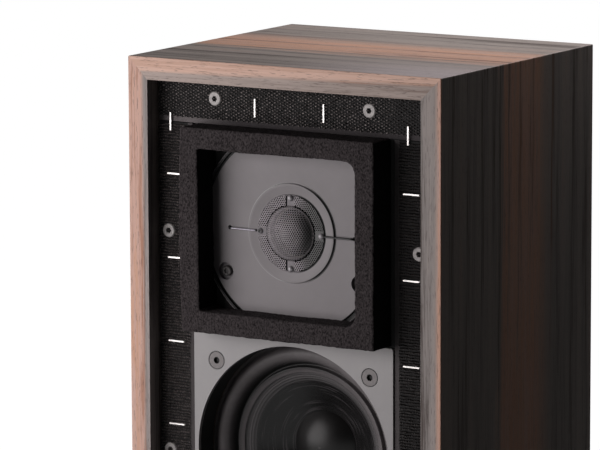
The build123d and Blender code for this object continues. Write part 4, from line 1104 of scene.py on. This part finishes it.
floorShape = bmesh.new()
bmesh.ops.create_grid(floorShape, x_segments=2, y_segments=2, size=studio["floor"])
floorLook = bpy.data.materials.new("floorPale")
floorLook.use_nodes = True
tree = Wire(floorLook.node_tree)
floorLook.node_tree.nodes.remove(floorLook.node_tree.nodes["Principled BSDF"])
ray = tree.node("LightPath", out="Is Camera Ray")
seen = ray + tree.node("LightPath", out="Is Glossy Ray") + tree.node("LightPath", out="Is Transmission Ray")
matt = tree.node("BsdfDiffuse", None, {"Color": grey(studio["matt"])})
near = tree.node("AmbientOcclusion", {"samples": 12}, {"Distance": studio["shadowReach"]}, out="AO")
white = blendTones(near ** studio["shadowFall"], grey(studio["shadow"]), grey(1.0))
glow = tree.node("Emission", None, {"Color": white, "Strength": 1.0})
both = tree.node("AddShader", None, {0: matt, 1: glow})
mixed = tree.node("MixShader", None, {0: seen, 1: matt, 2: both})
tree.feed(floorLook.node_tree.nodes["Material Output"].inputs["Surface"], mixed)
floor = pieceFrom(floorShape, "floor", floorLook, smooth=False)
floor.location = (0, 0, -studio["drop"] * mm)

world = bpy.data.worlds.new("air")
bpy.context.scene.world = world
world.use_nodes = True
air = world.node_tree.nodes["Background"].inputs
air["Color"].default_value = grey(1.0)
tree = Wire(world.node_tree)
ray = tree.node("LightPath", out="Is Camera Ray")
mirrored = tree.node("LightPath", out="Is Glossy Ray") + tree.node("LightPath", out="Is Transmission Ray")
tree.feed(air["Strength"], studio["air"] + ray * (1.0 - studio["air"]) + mirrored * studio["mirror"])

lamps = {
    "keyLamp": {"place": (-0.5, -0.65, 0.23), "aim": (0, -0.07, 0.17), "size": 0.7, "power": 6.4,
                "tint": (1.0, 0.955, 0.96)},
    "topLamp": {"place": (0.08, 0.22, 0.58), "aim": (0, 0, 0.3), "size": 0.22, "power": 1.05,
                "tint": (1.0, 0.95, 0.93)},
}
for name, lamp in lamps.items():
    light = bpy.data.lights.new(name, "AREA")
    light.shape = "DISK"
    light.size = lamp["size"]
    light.energy = lamp["power"]
    light.color = lamp["tint"]
    holder = bpy.data.objects.new(name, light)
    holder.location = lamp["place"]
    sight = Vector(lamp["aim"]) - Vector(lamp["place"])
    holder.rotation_euler = sight.to_track_quat("-Z", "Y").to_euler()
    holder.visible_camera = False
    bpy.context.scene.collection.objects.link(holder)

view = {
    "lens": 265.71,
    "sensor": 36.0,
    "place": (1.192239, -2.013172, 0.593724),
    "turn": 31.4587,
    "tilt": 9.2983,
    "roll": -0.22886,
}
lens = bpy.data.cameras.new("camera")
lens.sensor_width = view["sensor"]
lens.lens = view["lens"]
camera = bpy.data.objects.new("camera", lens)
turned = Matrix.Rotation(math.radians(view["turn"]), 4, "Z")
tilted = Matrix.Rotation(math.radians(90 - view["tilt"]), 4, "X")
rolled = Matrix.Rotation(math.radians(view["roll"]), 4, "Z")
camera.matrix_world = Matrix.Translation(view["place"]) @ (turned @ tilted @ rolled)
bpy.context.scene.collection.objects.link(camera)
bpy.context.scene.camera = camera
bpy.context.scene.view_settings.view_transform = "Standard"
print("studio done")
